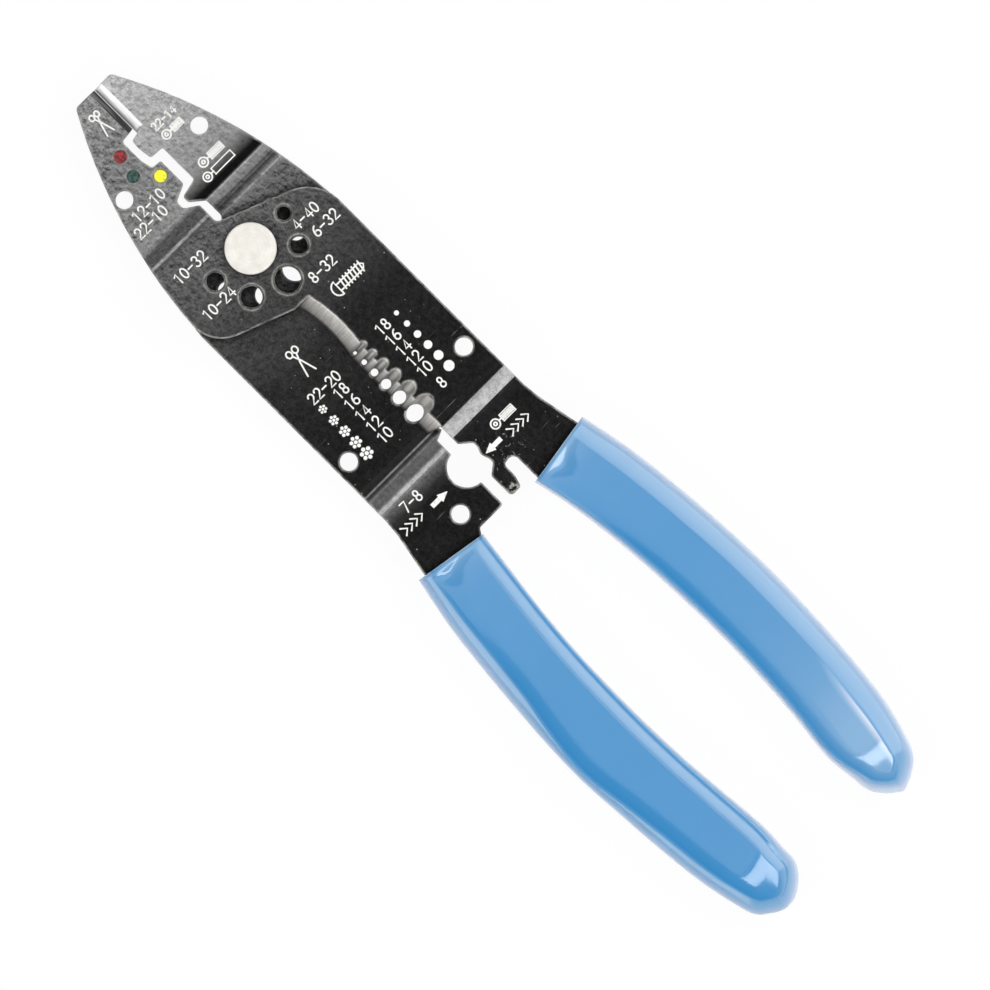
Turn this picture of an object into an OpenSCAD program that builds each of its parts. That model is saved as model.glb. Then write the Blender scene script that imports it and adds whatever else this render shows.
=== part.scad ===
// Insulated wire stripper: two stamped and joggled levers that cross at a flat rivet.
// X runs along the tool with the nose at +X, Y across it, Z up from the face it rests on.
// The upper (front) lever has its jaw on +Y and its handle on -Y, the lower (back) one the reverse.

/* [Overall] */
// Pivot to the tip of the nose
nose_len = 43.8; // [42:0.2:48]
// Pivot to the rear end of the crimp dies
rear_len = 70.6; // [68:0.2:74]
// Pivot to the end of the grips
tail_len = 166.2; // [160:0.2:176]
// Half the width of the head across the pivot
head_half_w = 19.1; // [18.6:0.1:20]
// Furthest reach of a grip from the centre line
belly_y = 28; // [27:0.2:30]

/* [Plates] */
// Thickness of the stamped plates
plate_t = 3; // [2.6:0.1:3.4]
// Running gap between the two plates where they overlap
plate_gap = 0.1; // [0.06:0.02:0.2]
// Radius of the bends where a plate steps to the middle
bend_r = 1.6; // [0.8:0.2:3]
// Fall of each outer edge from the pivot to the corner of the nose
nose_fall = 14.3; // [13:0.1:15]
// Radius of the nose corner
nose_corner_r = 1; // [0.4:0.1:2]

/* [Rivet] */
// Diameter of the flat heads
rivet_head_d = 10.3; // [9:0.1:12]
// Height of a head above its plate
rivet_head_t = 0.75; // [0.5:0.05:1.2]
// Chamfer at the rim of a head
rivet_chamfer = 0.2; // [0.1:0.05:0.4]
// Diameter of the shank
rivet_shank_d = 6; // [5:0.1:7]
// Radial clearance of the lever that turns on the shank
pivot_clearance = 0.05; // [0.02:0.01:0.1]
// Clearance under the head
head_clearance = 0.05; // [0.02:0.01:0.1]

/* [Cutters and strippers] */
// Height above the centre line that each stripping edge reaches
strip_lap = 1.15; // [0.9:0.05:1.3]
// Solid wire sizes of the stripping holes, from the rear, as gauge numbers
strip_gauges = [8, 10, 12, 14, 16, 18];
// Room for a wire in its hole, on the radius
strip_ease = 0.06; // [0.02:0.01:0.12]
// Shift of each notch towards its own edge, which makes two notches one hole
notch_shift = 0.42; // [0.3:0.02:0.5]
// Tilt of the notches from upright, in degrees
notch_tilt = 42.5; // [38:0.5:46]
// Edge left between two neighbouring holes
strip_land = 1.27; // [1:0.05:1.5]
// Radius of the hollow-ground wire cutter
cutter_r = 29; // [24:0.5:34]
// Lap of the two cutter edges at their middle
cutter_lap = 0.9; // [0.4:0.05:1.2]
// Place of the nose cutter's edge off the centre line
nose_cut_y = -0.25; // [-0.5:0.05:0]
// Gap left between the closed edges of the nose cutter
nose_cut_gap = 0.1; // [0.06:0.02:0.2]
// Width of the bevel on a nose edge, on the outer face of its lever
nose_bevel_w = 1.2; // [0.8:0.1:1.6]
// Width of the bevel on the other face
nose_back_bevel_w = 1.95; // [1.4:0.05:2.2]

/* [Holes] */
// Distance of the screw-shear bores from the pivot
shear_at_r = 9.5; // [9.2:0.1:10]
// Radius of the widest screw-shear bore
shear_bore_r = 2.6; // [2.3:0.05:2.8]
// Width of the countersunk rim round a shear bore
shear_rim = 0.45; // [0.2:0.05:0.6]
// Opening of the levers at which the shear bores line up, in degrees
shear_turn = 17; // [14:1:22]
// Radius of the round holes near the edges
round_hole_r = 1.8; // [1.5:0.1:2]
// Distance of the nose holes behind the tip of the nose
nose_hole_in = 19.45; // [18:0.05:21]
// Distance of the front lever's nose hole from the outer edge
front_nose_hole_edge = 2.53; // [2.4:0.01:4]
// Distance of the back lever's nose hole from the outer edge
back_nose_hole_edge = 3.38; // [2.4:0.01:4]
// Distance of the side holes ahead of the rear end of the dies
side_hole_in = 27.4; // [25:0.1:29]
// Distance of the side holes from the flank of the head
side_hole_edge = 3.1; // [2.6:0.1:5]
// Distance of the heel hole ahead of the rear end of the dies
heel_hole_in = 4.6; // [3.8:0.1:5.4]
// Distance of the heel hole from the centre line
heel_hole_y = 7.75; // [7:0.1:9]

/* [Rear crimp dies] */
// Radius of the round nest
nest_r = 4; // [3.4:0.1:4.2]
// Distance of the nest ahead of the rear end of the dies
nest_in = 10.2; // [9.6:0.1:10.8]
// Height of its centre above the centre line
nest_y = 0.3; // [0:0.05:0.5]

/* [Enamel dots] */
// Radius of a dot
dot_r = 1.25; // [1:0.05:1.3]
// Depth of the dimple that holds it
dimple_depth = 0.4; // [0.3:0.05:0.6]
// Thickness of the enamel
dot_t = 0.32; // [0.2:0.02:0.4]
// Width of the rounded rim of a dimple
dimple_rim = 0.2; // [0.1:0.05:0.3]

/* [Grips] */
// Vinyl over the two faces of the tang
grip_face_wall = 2.3; // [1.8:0.1:2.8]
// Vinyl beside the edges of the tang
grip_edge_wall = 1.55; // [1.3:0.05:2]
// Rounding of the long edges, seen from above
grip_edge_round = 4.2; // [3:0.1:6]

/* [Hidden] */
$fn = 64;

// Overrun of every cut, and the length below which a radius counts as none
over = 0.4;
tiny = 0.001;
// Turn between two points of a rounded corner, in degrees
arc_step = 12;

// Heights: the levers overlap about mid_z and come level with it at the nose and the rear
mid_z = rivet_head_t + plate_t + plate_gap / 2;
contact_z = plate_gap / 2;
outer_z = contact_z + plate_t;
half_t = plate_t / 2;
step_up = contact_z + half_t;

// Start and end of the step at the nose, as shares of nose_len
front_nose_step_shares = [0.236, 0.305];
back_nose_step_shares = [0.205, 0.298];
// Start and end of the step at the rear, as shares of rear_len
front_rear_step_shares = [0.725, 0.774];
back_rear_step_shares = [0.722, 0.788];

// Outer edge of the nose: an arc that leaves the straight flank behind the pivot
nose_arc_from = -0.26 * nose_len;
nose_arc_run = nose_len - nose_arc_from;
nose_arc_r = (pow(nose_arc_run, 2) + pow(nose_fall, 2)) / (2 * nose_fall);
// First point of that arc that is kept, past the rounded shoulder
nose_arc_first = -0.06 * nose_len;
nose_arc_points = 14;

// Corners of the jaws, from the nose to the pivot: x, y and fillet as shares of nose_len
front_cut_from_share = 0.756;
back_cut_from_share = 0.726;
front_jaw_shares = [
    [0.750, 0.070, 0.016], [0.628, 0.070, 0.046], [0.570, 0.056, 0.014], [0.565, 0.007, 0.011],
    [0.422, 0.007, 0.018], [0.386, 0.087, 0.021], [0.342, 0.087, 0.021], [0.299, 0.024, 0.011],
    [0.192, 0.024, 0.027]
];
back_jaw_shares = [
    [0.718, -0.035, 0.016], [0.673, -0.038, 0.046], [0.608, -0.029, 0.016], [0.604, 0.040, 0.009],
    [0.401, 0.040, 0.009], [0.379, -0.051, 0.016], [0.348, -0.051, 0.018], [0.296, 0.012, 0.011],
    [0.192, 0.012, 0.027]
];
// Fillet at the root of the nose cutter, as a share of nose_len
cut_root_share = 0.004;

// Shoulders of the pivot plate: x, y and fillet as shares of head_half_w
nose_shoulder_shares = [0.021, -1, 0.455];
heel_shoulder_shares = [-0.432, 1, 0.42];
blade_end_shares = [-0.765, 0.126, 0.016];
// Start of the flare towards the grip: x and fillet as shares of rear_len
flare_shares = [-0.829, 0.28];

// Corners of the rear dies, from the grip to the strippers: x, y and fillet as shares of rear_len
front_die_shares = [
    [-0.919, -0.114, 0.020], [-0.923, -0.074, 0.010], [-0.966, -0.074, 0.021],
    [-1, -0.064, 0.011], [-1, -0.026, 0.013], [-0.921, -0.026, 0.009], [-0.897, -0.056, 0.007],
    [-0.881, -0.056, 0.020], [-0.858, -0.047, 0.020], [-0.836, -0.056, 0.020],
    [-0.820, -0.056, 0.007], [-0.792, -0.023, 0.007], [-0.724, -0.023, 0.002], [-0.709, 0.022, 0]
];
back_die_shares = [
    [-1, -0.098, 0.007], [-1, -0.006, 0.010], [-0.912, -0.006, 0.011], [-0.884, -0.045, 0],
    [-0.827, -0.045, 0], [-0.800, -0.011, 0.009], [-0.745, -0.011, 0.004], [-0.731, 0.022, 0]
];

// Stripping holes: the standard gauge rule, with gauge 36 as its base wire
gauge_36_d = 0.127;
function wire_r(gauge) = gauge_36_d * pow(92, (36 - gauge) / 39) / 2;
notch_r = [for (gauge = strip_gauges) wire_r(gauge) + strip_ease];
// Place of the rearmost hole, as a share of rear_len
first_notch_x = -0.646 * rear_len;
function notch_x(i) =
    i == 0 ? first_notch_x : notch_x(i - 1) + notch_r[i - 1] + notch_r[i] + strip_land;
// Rear ends of the ground strips
front_strip_from = -0.724 * rear_len;
back_strip_from = -0.745 * rear_len;
// Where the wire cutter meets the strippers, its middle, and its end by the pivot
cutter_from = -0.4 * rear_len;
cutter_mid_x = -0.321 * rear_len;
cutter_to = blade_end_shares[0] * head_half_w;

// Screw-shear bores: angle round the pivot, and radius as a share of the widest
shear_angles = [88, 136, 185, 229, 272];
shear_r_shares = [0.69, 0.83, 1, 0.67, 0.52];

// Outer edge of the nose at a distance ahead of the pivot
function nose_edge(x) =
    head_half_w - nose_arc_r + sqrt(pow(nose_arc_r, 2) - pow(x - nose_arc_from, 2));

// Places of the round holes and of the nest, measured from the pivot
nose_hole_x = nose_len - nose_hole_in;
front_nose_hole_y = nose_edge(nose_hole_x) - front_nose_hole_edge;
back_nose_hole_y = nose_edge(nose_hole_x) - back_nose_hole_edge;
side_hole_x = rear_len - side_hole_in;
side_hole_y = head_half_w - side_hole_edge;
heel_hole_x = rear_len - heel_hole_in;
nest_x = rear_len - nest_in;

// Centres of the dots: x and y as shares of nose_len
red_dot_shares = [0.705, 0.122];
green_dot_shares = [0.602, 0.143];
yellow_dot_shares = [0.517, 0.056];

// Grips: stations from the mouth to the tail. Each holds the outer edge's place along the
// grip and its reach, the inner edge's place and reach, and the share of the full thickness.
grip_from = 0.983 * rear_len;
grip_len = tail_len - grip_from;
grip_station_shares = [
    [0, 0.813, 0.026, 0.250, 0.97], [0.110, 0.892, 0.115, 0.296, 1],
    [0.213, 0.936, 0.213, 0.341, 1], [0.316, 0.968, 0.316, 0.374, 1],
    [0.419, 0.991, 0.419, 0.392, 1], [0.523, 1, 0.523, 0.395, 1],
    [0.626, 0.982, 0.626, 0.382, 1], [0.729, 0.954, 0.729, 0.357, 1],
    [0.833, 0.914, 0.838, 0.322, 1], [0.915, 0.855, 0.905, 0.328, 1],
    [0.962, 0.793, 0.946, 0.352, 0.97], [0.988, 0.700, 0.977, 0.428, 0.78],
    [1, 0.604, 0.996, 0.511, 0.3]
];
grip_last = len(grip_station_shares) - 1;
// Stations along the tang, whose edge crosses the mouth between the first one and the head
tang_last = 10;
tang_stations = concat([0.1], [for (t = [0.5:0.5:tang_last]) t]);
// Share of the edge wall that is left at the mouth
mouth_wall_share = 0.58;
grip_sides = 24;
grip_half_t = half_t + grip_face_wall;

function unit(v) = v / norm(v);
function flat(p) = [p[0], p[1]];
function backwards(list) = [for (i = [len(list) - 1:-1:0]) list[i]];

// Length of the side from b towards a that a fillet at b may use
function side_room(a, b) = (a[2] < tiny ? 0.98 : 0.49) * norm(flat(a) - flat(b));

// Points of one corner b between its neighbours a and c; its fillet is limited by the short side
function fillet(a, b, c) =
    let (
        u = unit(flat(a) - flat(b)),
        v = unit(flat(c) - flat(b)),
        half = acos(max(-1, min(1, u * v))) / 2,
        room = min(side_room(a, b), side_room(c, b)),
        reach = min(b[2] / tan(half), room),
        r = reach * tan(half)
    )
    (b[2] < tiny || half > 89.5) ? [flat(b)] :
    let (
        centre = flat(b) + unit(u + v) * r / sin(half),
        from = flat(b) + u * reach - centre,
        to = flat(b) + v * reach - centre,
        start = atan2(from[1], from[0]),
        raw = atan2(to[1], to[0]) - start,
        turn = raw > 180 ? raw - 360 : raw < -180 ? raw + 360 : raw,
        steps = max(1, ceil(abs(turn) / arc_step))
    )
    [for (i = [0:steps]) centre + r * [cos(start + turn * i / steps), sin(start + turn * i / steps)]];

// Outline of a list of corners, each x, y and fillet
function rounded(corners) =
    let (n = len(corners))
    [for (i = [0:n - 1]) each fillet(corners[(i + n - 1) % n], corners[i], corners[(i + 1) % n])];

function scaled(rows, size) = [for (row = rows) row * size];

// Outer edge of the nose, from the shoulder to the tip
function nose_arc() = [
    for (i = [0:nose_arc_points])
        let (x = nose_arc_first + (nose_len - nose_arc_first) * i / nose_arc_points)
        [x, nose_edge(x), i == nose_arc_points ? nose_corner_r : 0]
];

// A smooth curve through rows of numbers, at t counted in rows
function through(rows, t) =
    let (
        n = len(rows) - 1,
        i = min(floor(t), n - 1),
        f = t - i,
        a = rows[max(i - 1, 0)],
        b = rows[i],
        c = rows[i + 1],
        d = rows[min(i + 2, n)]
    )
    b + f / 2 * ((c - a) + f * ((2 * a - 5 * b + 4 * c - d) + f * (3 * b - a - 3 * c + d)));

function station(t) = through(grip_station_shares, t);
function grip_outer(t) = let (s = station(t)) [-grip_from - s[0] * grip_len, -s[1] * belly_y];
function grip_inner(t) = let (s = station(t)) [-grip_from - s[2] * grip_len, -s[3] * belly_y];

// Edges of the tang, inset from the grip's own edges
function inner_wall(t) = grip_edge_wall * (mouth_wall_share + (1 - mouth_wall_share) * min(t, 1));
function tang_outer(t) =
    grip_outer(t) + unit(grip_inner(t) - grip_outer(t)) * grip_edge_wall;
function tang_inner(t) =
    grip_inner(t) + unit(grip_outer(t) - grip_inner(t)) * inner_wall(t);
function tang() = concat(
    [for (t = tang_stations) let (p = tang_outer(t)) [p[0], p[1], 0]],
    [for (t = backwards(tang_stations)) let (p = tang_inner(t)) [p[0], p[1], 0]]
);

// Whole outline of a lever, jaw on +Y and handle on -Y
function lever_outline(jaw_shares, cut_from_share, cut_y, die_shares) = rounded(concat(
    nose_arc(),
    [[nose_len, cut_y, 0], [cut_from_share * nose_len, cut_y, cut_root_share * nose_len]],
    scaled(jaw_shares, nose_len),
    [nose_shoulder_shares * head_half_w],
    [[flare_shares[0] * rear_len, -head_half_w, flare_shares[1] * rear_len]],
    tang(),
    scaled(die_shares, rear_len),
    [[cutter_to, strip_lap + over, 0]],
    [blade_end_shares * head_half_w],
    [heel_shoulder_shares * head_half_w]
));

front_cut_y = nose_cut_y + nose_cut_gap / 2;
back_cut_y = -nose_cut_y + nose_cut_gap / 2;
front_outline =
    lever_outline(front_jaw_shares, front_cut_from_share, front_cut_y, front_die_shares);
back_outline = lever_outline(back_jaw_shares, back_cut_from_share, back_cut_y, back_die_shares);

// Side view of a lever: level with the middle at both ends, lifted between its two steps
function side_path(nose_step_shares, rear_step_shares, z) = [
    [nose_len + over, z, 0],
    [nose_step_shares[1] * nose_len, z, bend_r],
    [nose_step_shares[0] * nose_len, z + step_up, bend_r],
    [-rear_step_shares[0] * rear_len, z + step_up, bend_r],
    [-rear_step_shares[1] * rear_len, z, bend_r],
    [-tail_len - over, z, 0]
];
function side_view(nose_step_shares, rear_step_shares) = rounded(concat(
    side_path(nose_step_shares, rear_step_shares, half_t),
    backwards(side_path(nose_step_shares, rear_step_shares, -half_t))
));

module stamped_plate(outline, nose_step_shares, rear_step_shares) {
    intersection() {
        translate([0, 0, -half_t - over])
            linear_extrude(height = outer_z + half_t + 2 * over)
                polygon(outline);
        rotate([90, 0, 0])
            linear_extrude(height = 2 * (belly_y + over), center = true)
                polygon(side_view(nose_step_shares, rear_step_shares));
    }
}

// A prism along X whose section is given in Y and Z
module bar_along_x(from, to, section) {
    translate([from, 0, 0])
        rotate([90, 0, 90])
            linear_extrude(height = to - from)
                polygon(section);
}

// Ground bevels of the stripping edge and of the wire cutter, at 45 degrees
module blade_grinding(strip_from) {
    far = strip_lap + plate_t + 2 * over;
    bar_along_x(strip_from, cutter_from, [
        [strip_lap + over, contact_z - over],
        [strip_lap - plate_t - over, outer_z + over],
        [far, outer_z + over],
        [far, contact_z - over]
    ]);
    intersection() {
        translate([cutter_mid_x, cutter_r + cutter_lap / 2, contact_z - over])
            cylinder(h = plate_t + 2 * over, r1 = cutter_r - over, r2 = cutter_r + plate_t + over);
        translate([cutter_from - tiny, -head_half_w, contact_z - 2 * over])
            cube([cutter_to - cutter_from + tiny, 2 * head_half_w, plate_t + 4 * over]);
    }
}

// One round notch of a stripping hole, cut at about the slope of the ground bevel
module strip_notch(x, r) {
    reach = 2 * (plate_t + strip_lap);
    translate([x, notch_shift, contact_z])
        rotate([notch_tilt, 0, 0])
            cylinder(h = 2 * reach, r = r, center = true);
}

module strip_notches() {
    for (i = [0:len(strip_gauges) - 1])
        strip_notch(notch_x(i), notch_r[i]);
}

// Both bevels of a nose cutter edge at height zero, ground along its whole length
module nose_grinding(from, edge_y) {
    k = 1 + over / half_t;
    for (side = [[nose_bevel_w, 1], [nose_back_bevel_w, -1]])
        bar_along_x(from, nose_len + over, [
            [edge_y, 0],
            [edge_y + side[0] * k, side[1] * half_t * k],
            [edge_y - over, side[1] * half_t * k],
            [edge_y - over, 0]
        ]);
}

// Bores that hold a screw while the levers shear it
module shear_bores(angles) {
    for (i = [0:len(angles) - 1]) {
        r = shear_bore_r * shear_r_shares[i];
        rotate([0, 0, angles[i]])
            translate([shear_at_r, 0, 0]) {
                translate([0, 0, contact_z - over])
                    cylinder(h = plate_t + 2 * over, r = r);
                translate([0, 0, outer_z - shear_rim])
                    cylinder(h = shear_rim + tiny, r1 = r, r2 = r + shear_rim);
            }
    }
}

module through_hole(x, y, r) {
    translate([x, y, -half_t - over])
        cylinder(h = outer_z + half_t + 2 * over, r = r);
}

module at_dot(shares) {
    translate([shares[0] * nose_len, shares[1] * nose_len, half_t - dimple_depth])
        children();
}

module dimple() {
    cylinder(h = dimple_depth + over, r = dot_r);
    translate([0, 0, dimple_depth - dimple_rim])
        cylinder(h = dimple_rim + tiny, r1 = dot_r, r2 = dot_r + dimple_rim);
}

module front_lever() {
    color("#2c2d2b")
    translate([0, 0, mid_z])
        difference() {
            stamped_plate(front_outline, front_nose_step_shares, front_rear_step_shares);
            blade_grinding(front_strip_from);
            strip_notches();
            nose_grinding(front_cut_from_share * nose_len - over, front_cut_y);
            shear_bores(shear_angles);
            through_hole(0, 0, rivet_shank_d / 2 + pivot_clearance);
            through_hole(nose_hole_x, front_nose_hole_y, round_hole_r);
            through_hole(-side_hole_x, -side_hole_y, round_hole_r);
            at_dot(red_dot_shares) dimple();
            at_dot(green_dot_shares) dimple();
            at_dot(yellow_dot_shares) dimple();
        }
}

// The back lever is turned over: what is built facing up here faces the bench
module turned_over() {
    translate([0, 0, mid_z])
        rotate([180, 0, 0])
            children();
}

module back_lever() {
    color("#454644")
    turned_over()
        difference() {
            stamped_plate(back_outline, back_nose_step_shares, back_rear_step_shares);
            blade_grinding(back_strip_from);
            strip_notches();
            nose_grinding(back_cut_from_share * nose_len + over, back_cut_y);
            shear_bores([for (angle = shear_angles) -angle - shear_turn]);
            through_hole(0, 0, rivet_shank_d / 2);
            through_hole(nose_hole_x, back_nose_hole_y, round_hole_r);
            through_hole(-side_hole_x, -side_hole_y, round_hole_r);
            through_hole(-heel_hole_x, -heel_hole_y, round_hole_r);
            through_hole(-nest_x, -nest_y, nest_r);
        }
}

// Shank and two flat heads; the lower head is the peened end that the tool rests on
module pivot_rivet() {
    head_r = rivet_head_d / 2;
    shank_r = rivet_shank_d / 2;
    head_z = mid_z + outer_z + head_clearance;
    top_z = head_z + rivet_head_t;
    color("#e9e6df")
    rotate_extrude()
        polygon([
            [0, 0],
            [head_r - rivet_chamfer, 0],
            [head_r, rivet_chamfer],
            [head_r, rivet_head_t],
            [shank_r, rivet_head_t],
            [shank_r, head_z],
            [head_r, head_z],
            [head_r, top_z - rivet_chamfer],
            [head_r - rivet_chamfer, top_z],
            [0, top_z]
        ]);
}

// Ring of a grip at station t: a flat pill between the inner and the outer edge
function grip_ring(t) =
    let (
        outer = grip_outer(t),
        inner = grip_inner(t),
        along = unit(outer - inner),
        half_w = norm(outer - inner) / 2,
        middle = (outer + inner) / 2,
        e = min(grip_edge_round, half_w),
        h = grip_half_t * station(t)[4]
    )
    [
        for (i = [0:grip_sides - 1])
            let (
                a = 360 * (i + 0.5) / grip_sides,
                y = sign(cos(a)) * (half_w - e) + e * cos(a),
                p = middle + along * y
            )
            [p[0], p[1], h * sin(a)]
    ];

module grip_skin() {
    stations = concat([for (t = [0:0.25:tang_last]) t], [for (t = [tang_last + 0.2:0.2:grip_last]) t]);
    rings = [for (t = stations) grip_ring(t)];
    n = grip_sides;
    last = len(rings) - 1;
    points = [for (ring = rings) each ring];
    walls = [
        for (k = [0:last - 1], i = [0:n - 1])
            let (a = k * n + i, b = k * n + (i + 1) % n)
            each [[a, b + n, b], [a, a + n, b + n]]
    ];
    mouth_cap = [[for (i = [0:n - 1]) i]];
    tail_cap = [[for (i = [0:n - 1]) last * n + n - 1 - i]];
    polyhedron(points = points, faces = concat(walls, mouth_cap, tail_cap));
}

// Dipped vinyl grip, hollow for the tang that it coats
module grip(outline) {
    difference() {
        grip_skin();
        linear_extrude(height = plate_t, center = true)
            polygon(outline);
    }
}

module front_grip() {
    color("#5d9ed2")
    translate([0, 0, mid_z])
        grip(front_outline);
}

module back_grip() {
    color("#5d9ed2")
    turned_over()
        grip(back_outline);
}

// Enamel poured into a dimple
module dot(shares) {
    translate([0, 0, mid_z])
        at_dot(shares)
            cylinder(h = dot_t, r = dot_r);
}

module dot_red() { color("#b02222") dot(red_dot_shares); }
module dot_green() { color("#24504a") dot(green_dot_shares); }
module dot_yellow() { color("#f4f04a") dot(yellow_dot_shares); }

back_lever();
front_lever();
pivot_rivet();
back_grip();
front_grip();
dot_red();
dot_green();
dot_yellow();
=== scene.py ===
# %% [markdown]
# A wire stripper is two flat levers, one rivet and two dipped grips. Nothing on it is thick, so
# its looks come from edges, from the grain of a dark coat, from ground steel and from gloss.
# The levers, the rivet and the enamel dots are engineering solids that are already right in
# shape. This lesson gives them their finish, and builds the soft grips and the printing anew.

# %% Load the solids
import math

import bmesh
import bpy
from mathutils import Matrix, Vector


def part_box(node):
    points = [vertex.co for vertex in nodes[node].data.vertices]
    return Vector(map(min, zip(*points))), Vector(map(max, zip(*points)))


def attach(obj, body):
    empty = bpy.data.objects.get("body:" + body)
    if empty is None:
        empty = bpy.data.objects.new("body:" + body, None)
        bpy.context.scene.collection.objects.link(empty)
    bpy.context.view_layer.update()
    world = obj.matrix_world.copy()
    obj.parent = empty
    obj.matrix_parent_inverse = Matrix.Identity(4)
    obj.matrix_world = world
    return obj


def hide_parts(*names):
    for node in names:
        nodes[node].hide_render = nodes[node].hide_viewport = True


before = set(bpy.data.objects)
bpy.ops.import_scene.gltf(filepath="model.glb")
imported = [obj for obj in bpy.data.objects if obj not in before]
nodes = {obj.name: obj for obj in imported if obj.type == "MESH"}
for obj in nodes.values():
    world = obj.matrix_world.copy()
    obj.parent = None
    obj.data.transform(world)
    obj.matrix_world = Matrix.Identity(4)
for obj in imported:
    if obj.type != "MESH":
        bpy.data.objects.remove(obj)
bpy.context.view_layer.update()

mm = 0.001
print("solids:", ", ".join(sorted(nodes)))

# %% Heights that the solids give
front_low, front_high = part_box("front_lever")
back_low, back_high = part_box("back_lever")
mid_z = (front_low.z + back_high.z) / 2
plate_t = back_high.z - front_low.z
level_top = back_high.z
front_top = front_high.z
back_top = back_low.z + plate_t
tail_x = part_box("front_grip")[0].x
tops = ", ".join(f"{top / mm:.2f}" for top in (back_top, level_top, front_top))
print(f"plates {plate_t / mm:.2f} mm, tops at {tops} mm")

# %% [markdown]
# The photograph looks straight down on the tool, which lies across the picture from corner to
# corner. A long lens far away gives the same flat view, and still lets other views step back
# until the tool fits. The picture is as wide as view_w on the plane of the levers' tops.

# %% Camera
view_w = 194.5 * mm
view_centre = Vector((-68.15 * mm, 0.29 * mm, level_top))
camera_distance = 2.0
sensor_w = 36.0
nose_turn = math.radians(225)


def in_scene(name, data):
    """A new object at the origin of the scene."""
    made = bpy.data.objects.new(name, data)
    bpy.context.scene.collection.objects.link(made)
    return made


camera_data = bpy.data.cameras.new("camera")
camera_data.sensor_width = sensor_w
camera_data.lens = sensor_w * camera_distance / view_w
camera = in_scene("camera", camera_data)
camera.location = view_centre + Vector((0, 0, camera_distance))
camera.rotation_euler = (0, 0, nose_turn)
bpy.context.scene.camera = camera
print(f"lens {camera_data.lens:.0f} mm at {camera_distance} m")

# %% [markdown]
# A node tree reads well when each line makes one node. So one helper makes a node, sets its
# properties and puts values into its inputs in order, and another fills inputs by name. Both
# make a link from a socket, and set a number or a colour. The sums and patterns after them are
# what every finish below is built from.

# %% Helpers for sums in node trees
def put(tree, socket, value):
    """Links or sets an input. None leaves it as it is."""
    if isinstance(value, bpy.types.NodeSocket):
        tree.links.new(value, socket)
    elif value is not None:
        socket.default_value = value


def fill(tree, node, values):
    for name, value in values.items():
        put(tree, node.inputs[name], value)


def add(tree, kind, *values, **options):
    made = tree.nodes.new(kind)
    for name, value in options.items():
        setattr(made, name, value)
    for socket, value in zip(made.inputs, values):
        put(tree, socket, value)
    return made


def maths(tree, operation, a, b=None, c=None):
    return add(tree, "ShaderNodeMath", a, b, c, operation=operation).outputs[0]


def product(tree, first, *others):
    for other in others:
        first = maths(tree, "MULTIPLY", first, other)
    return first


def mapped(tree, value, low, high, at_low=0.0, at_high=1.0):
    """Carries a value from one span to another, and clamps it there."""
    return add(tree, "ShaderNodeMapRange", value, low, high, at_low, at_high).outputs[0]


def between(tree, value, low, high, soft):
    """1 where value lies between low and high, with soft edges."""
    rise = mapped(tree, value, low - soft, low + soft)
    return product(tree, rise, mapped(tree, value, high - soft, high + soft, 1.0, 0.0))


print("helpers:", ", ".join(f.__name__ for f in (put, fill, add, maths, product, mapped, between)))

# %% Helpers for colours
def grey(level):
    return (level, level, level, 1.0)


def mixed(tree, share, first, second):
    """A colour between two colours."""
    node = add(tree, "ShaderNodeMix", data_type="RGBA")
    # Inputs 6 and 7 are the colours, after those for numbers and vectors
    for place, value in ((0, share), (6, first), (7, second)):
        put(tree, node.inputs[place], value)
    return node.outputs[2]


def scaled(tree, colour, factor):
    """A colour made brighter or darker by a factor."""
    node = add(tree, "ShaderNodeVectorMath", colour, operation="SCALE")
    fill(tree, node, {"Scale": factor})
    return node.outputs[0]


def ramp(tree, value, stops):
    """A colour ramp through (place, colour) stops."""
    node = add(tree, "ShaderNodeValToRGB", value)
    while len(node.color_ramp.elements) < len(stops):
        node.color_ramp.elements.new(0.5)
    for element, (place, colour) in zip(node.color_ramp.elements, stops):
        element.position = place
        element.color = colour
    return node.outputs[0]


print("helpers:", ", ".join(f.__name__ for f in (grey, mixed, scaled, ramp)))

# %% Helpers for patterns and materials
def noise(tree, where, scale, detail=3.0, roughness=0.5):
    node = add(tree, "ShaderNodeTexNoise", where)
    fill(tree, node, {"Scale": scale, "Detail": detail, "Roughness": roughness})
    return node.outputs[0]


def stretched(tree, where, factors, turn=0.0):
    """Places scaled along each axis, so that round patterns on them become lines."""
    node = add(tree, "ShaderNodeMapping", where)
    fill(tree, node, {"Rotation": (0, 0, turn), "Scale": factors})
    return node.outputs[0]


def specks(tree, where, scale, size, chance, level):
    """Round specks in some cells of a Voronoi pattern, and a random number for each cell.

    A speck fades between the two distances of size. The cells whose other random number is
    past chance have one.
    """
    cells = add(tree, "ShaderNodeTexVoronoi", where, feature="F1")
    fill(tree, cells, {"Scale": scale})
    spot = mapped(tree, cells.outputs["Distance"], *size, 1.0, 0.0)
    lots = add(tree, "ShaderNodeSeparateXYZ", cells.outputs["Color"]).outputs
    return product(tree, spot, mapped(tree, lots[0], *chance, 0.0, level)), lots[1]


def give_relief(tree, shader, height, strength, depth, normal=None):
    """Bumps on a shader from a height, over its own normal or another."""
    bump = add(tree, "ShaderNodeBump")
    fill(tree, bump, {"Strength": strength, "Distance": depth, "Height": height, "Normal": normal})
    fill(tree, shader, {"Normal": bump.outputs[0]})


def new_material(name):
    """A material with a Principled shader. Returns it, its tree and the shader."""
    material = bpy.data.materials.new(name)
    material.use_nodes = True
    return material, material.node_tree, material.node_tree.nodes["Principled BSDF"]


def coordinates(tree):
    return add(tree, "ShaderNodeTexCoord").outputs


pattern_helpers = (noise, stretched, specks, give_relief, new_material, coordinates)
print("helpers:", ", ".join(f.__name__ for f in pattern_helpers))

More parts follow.
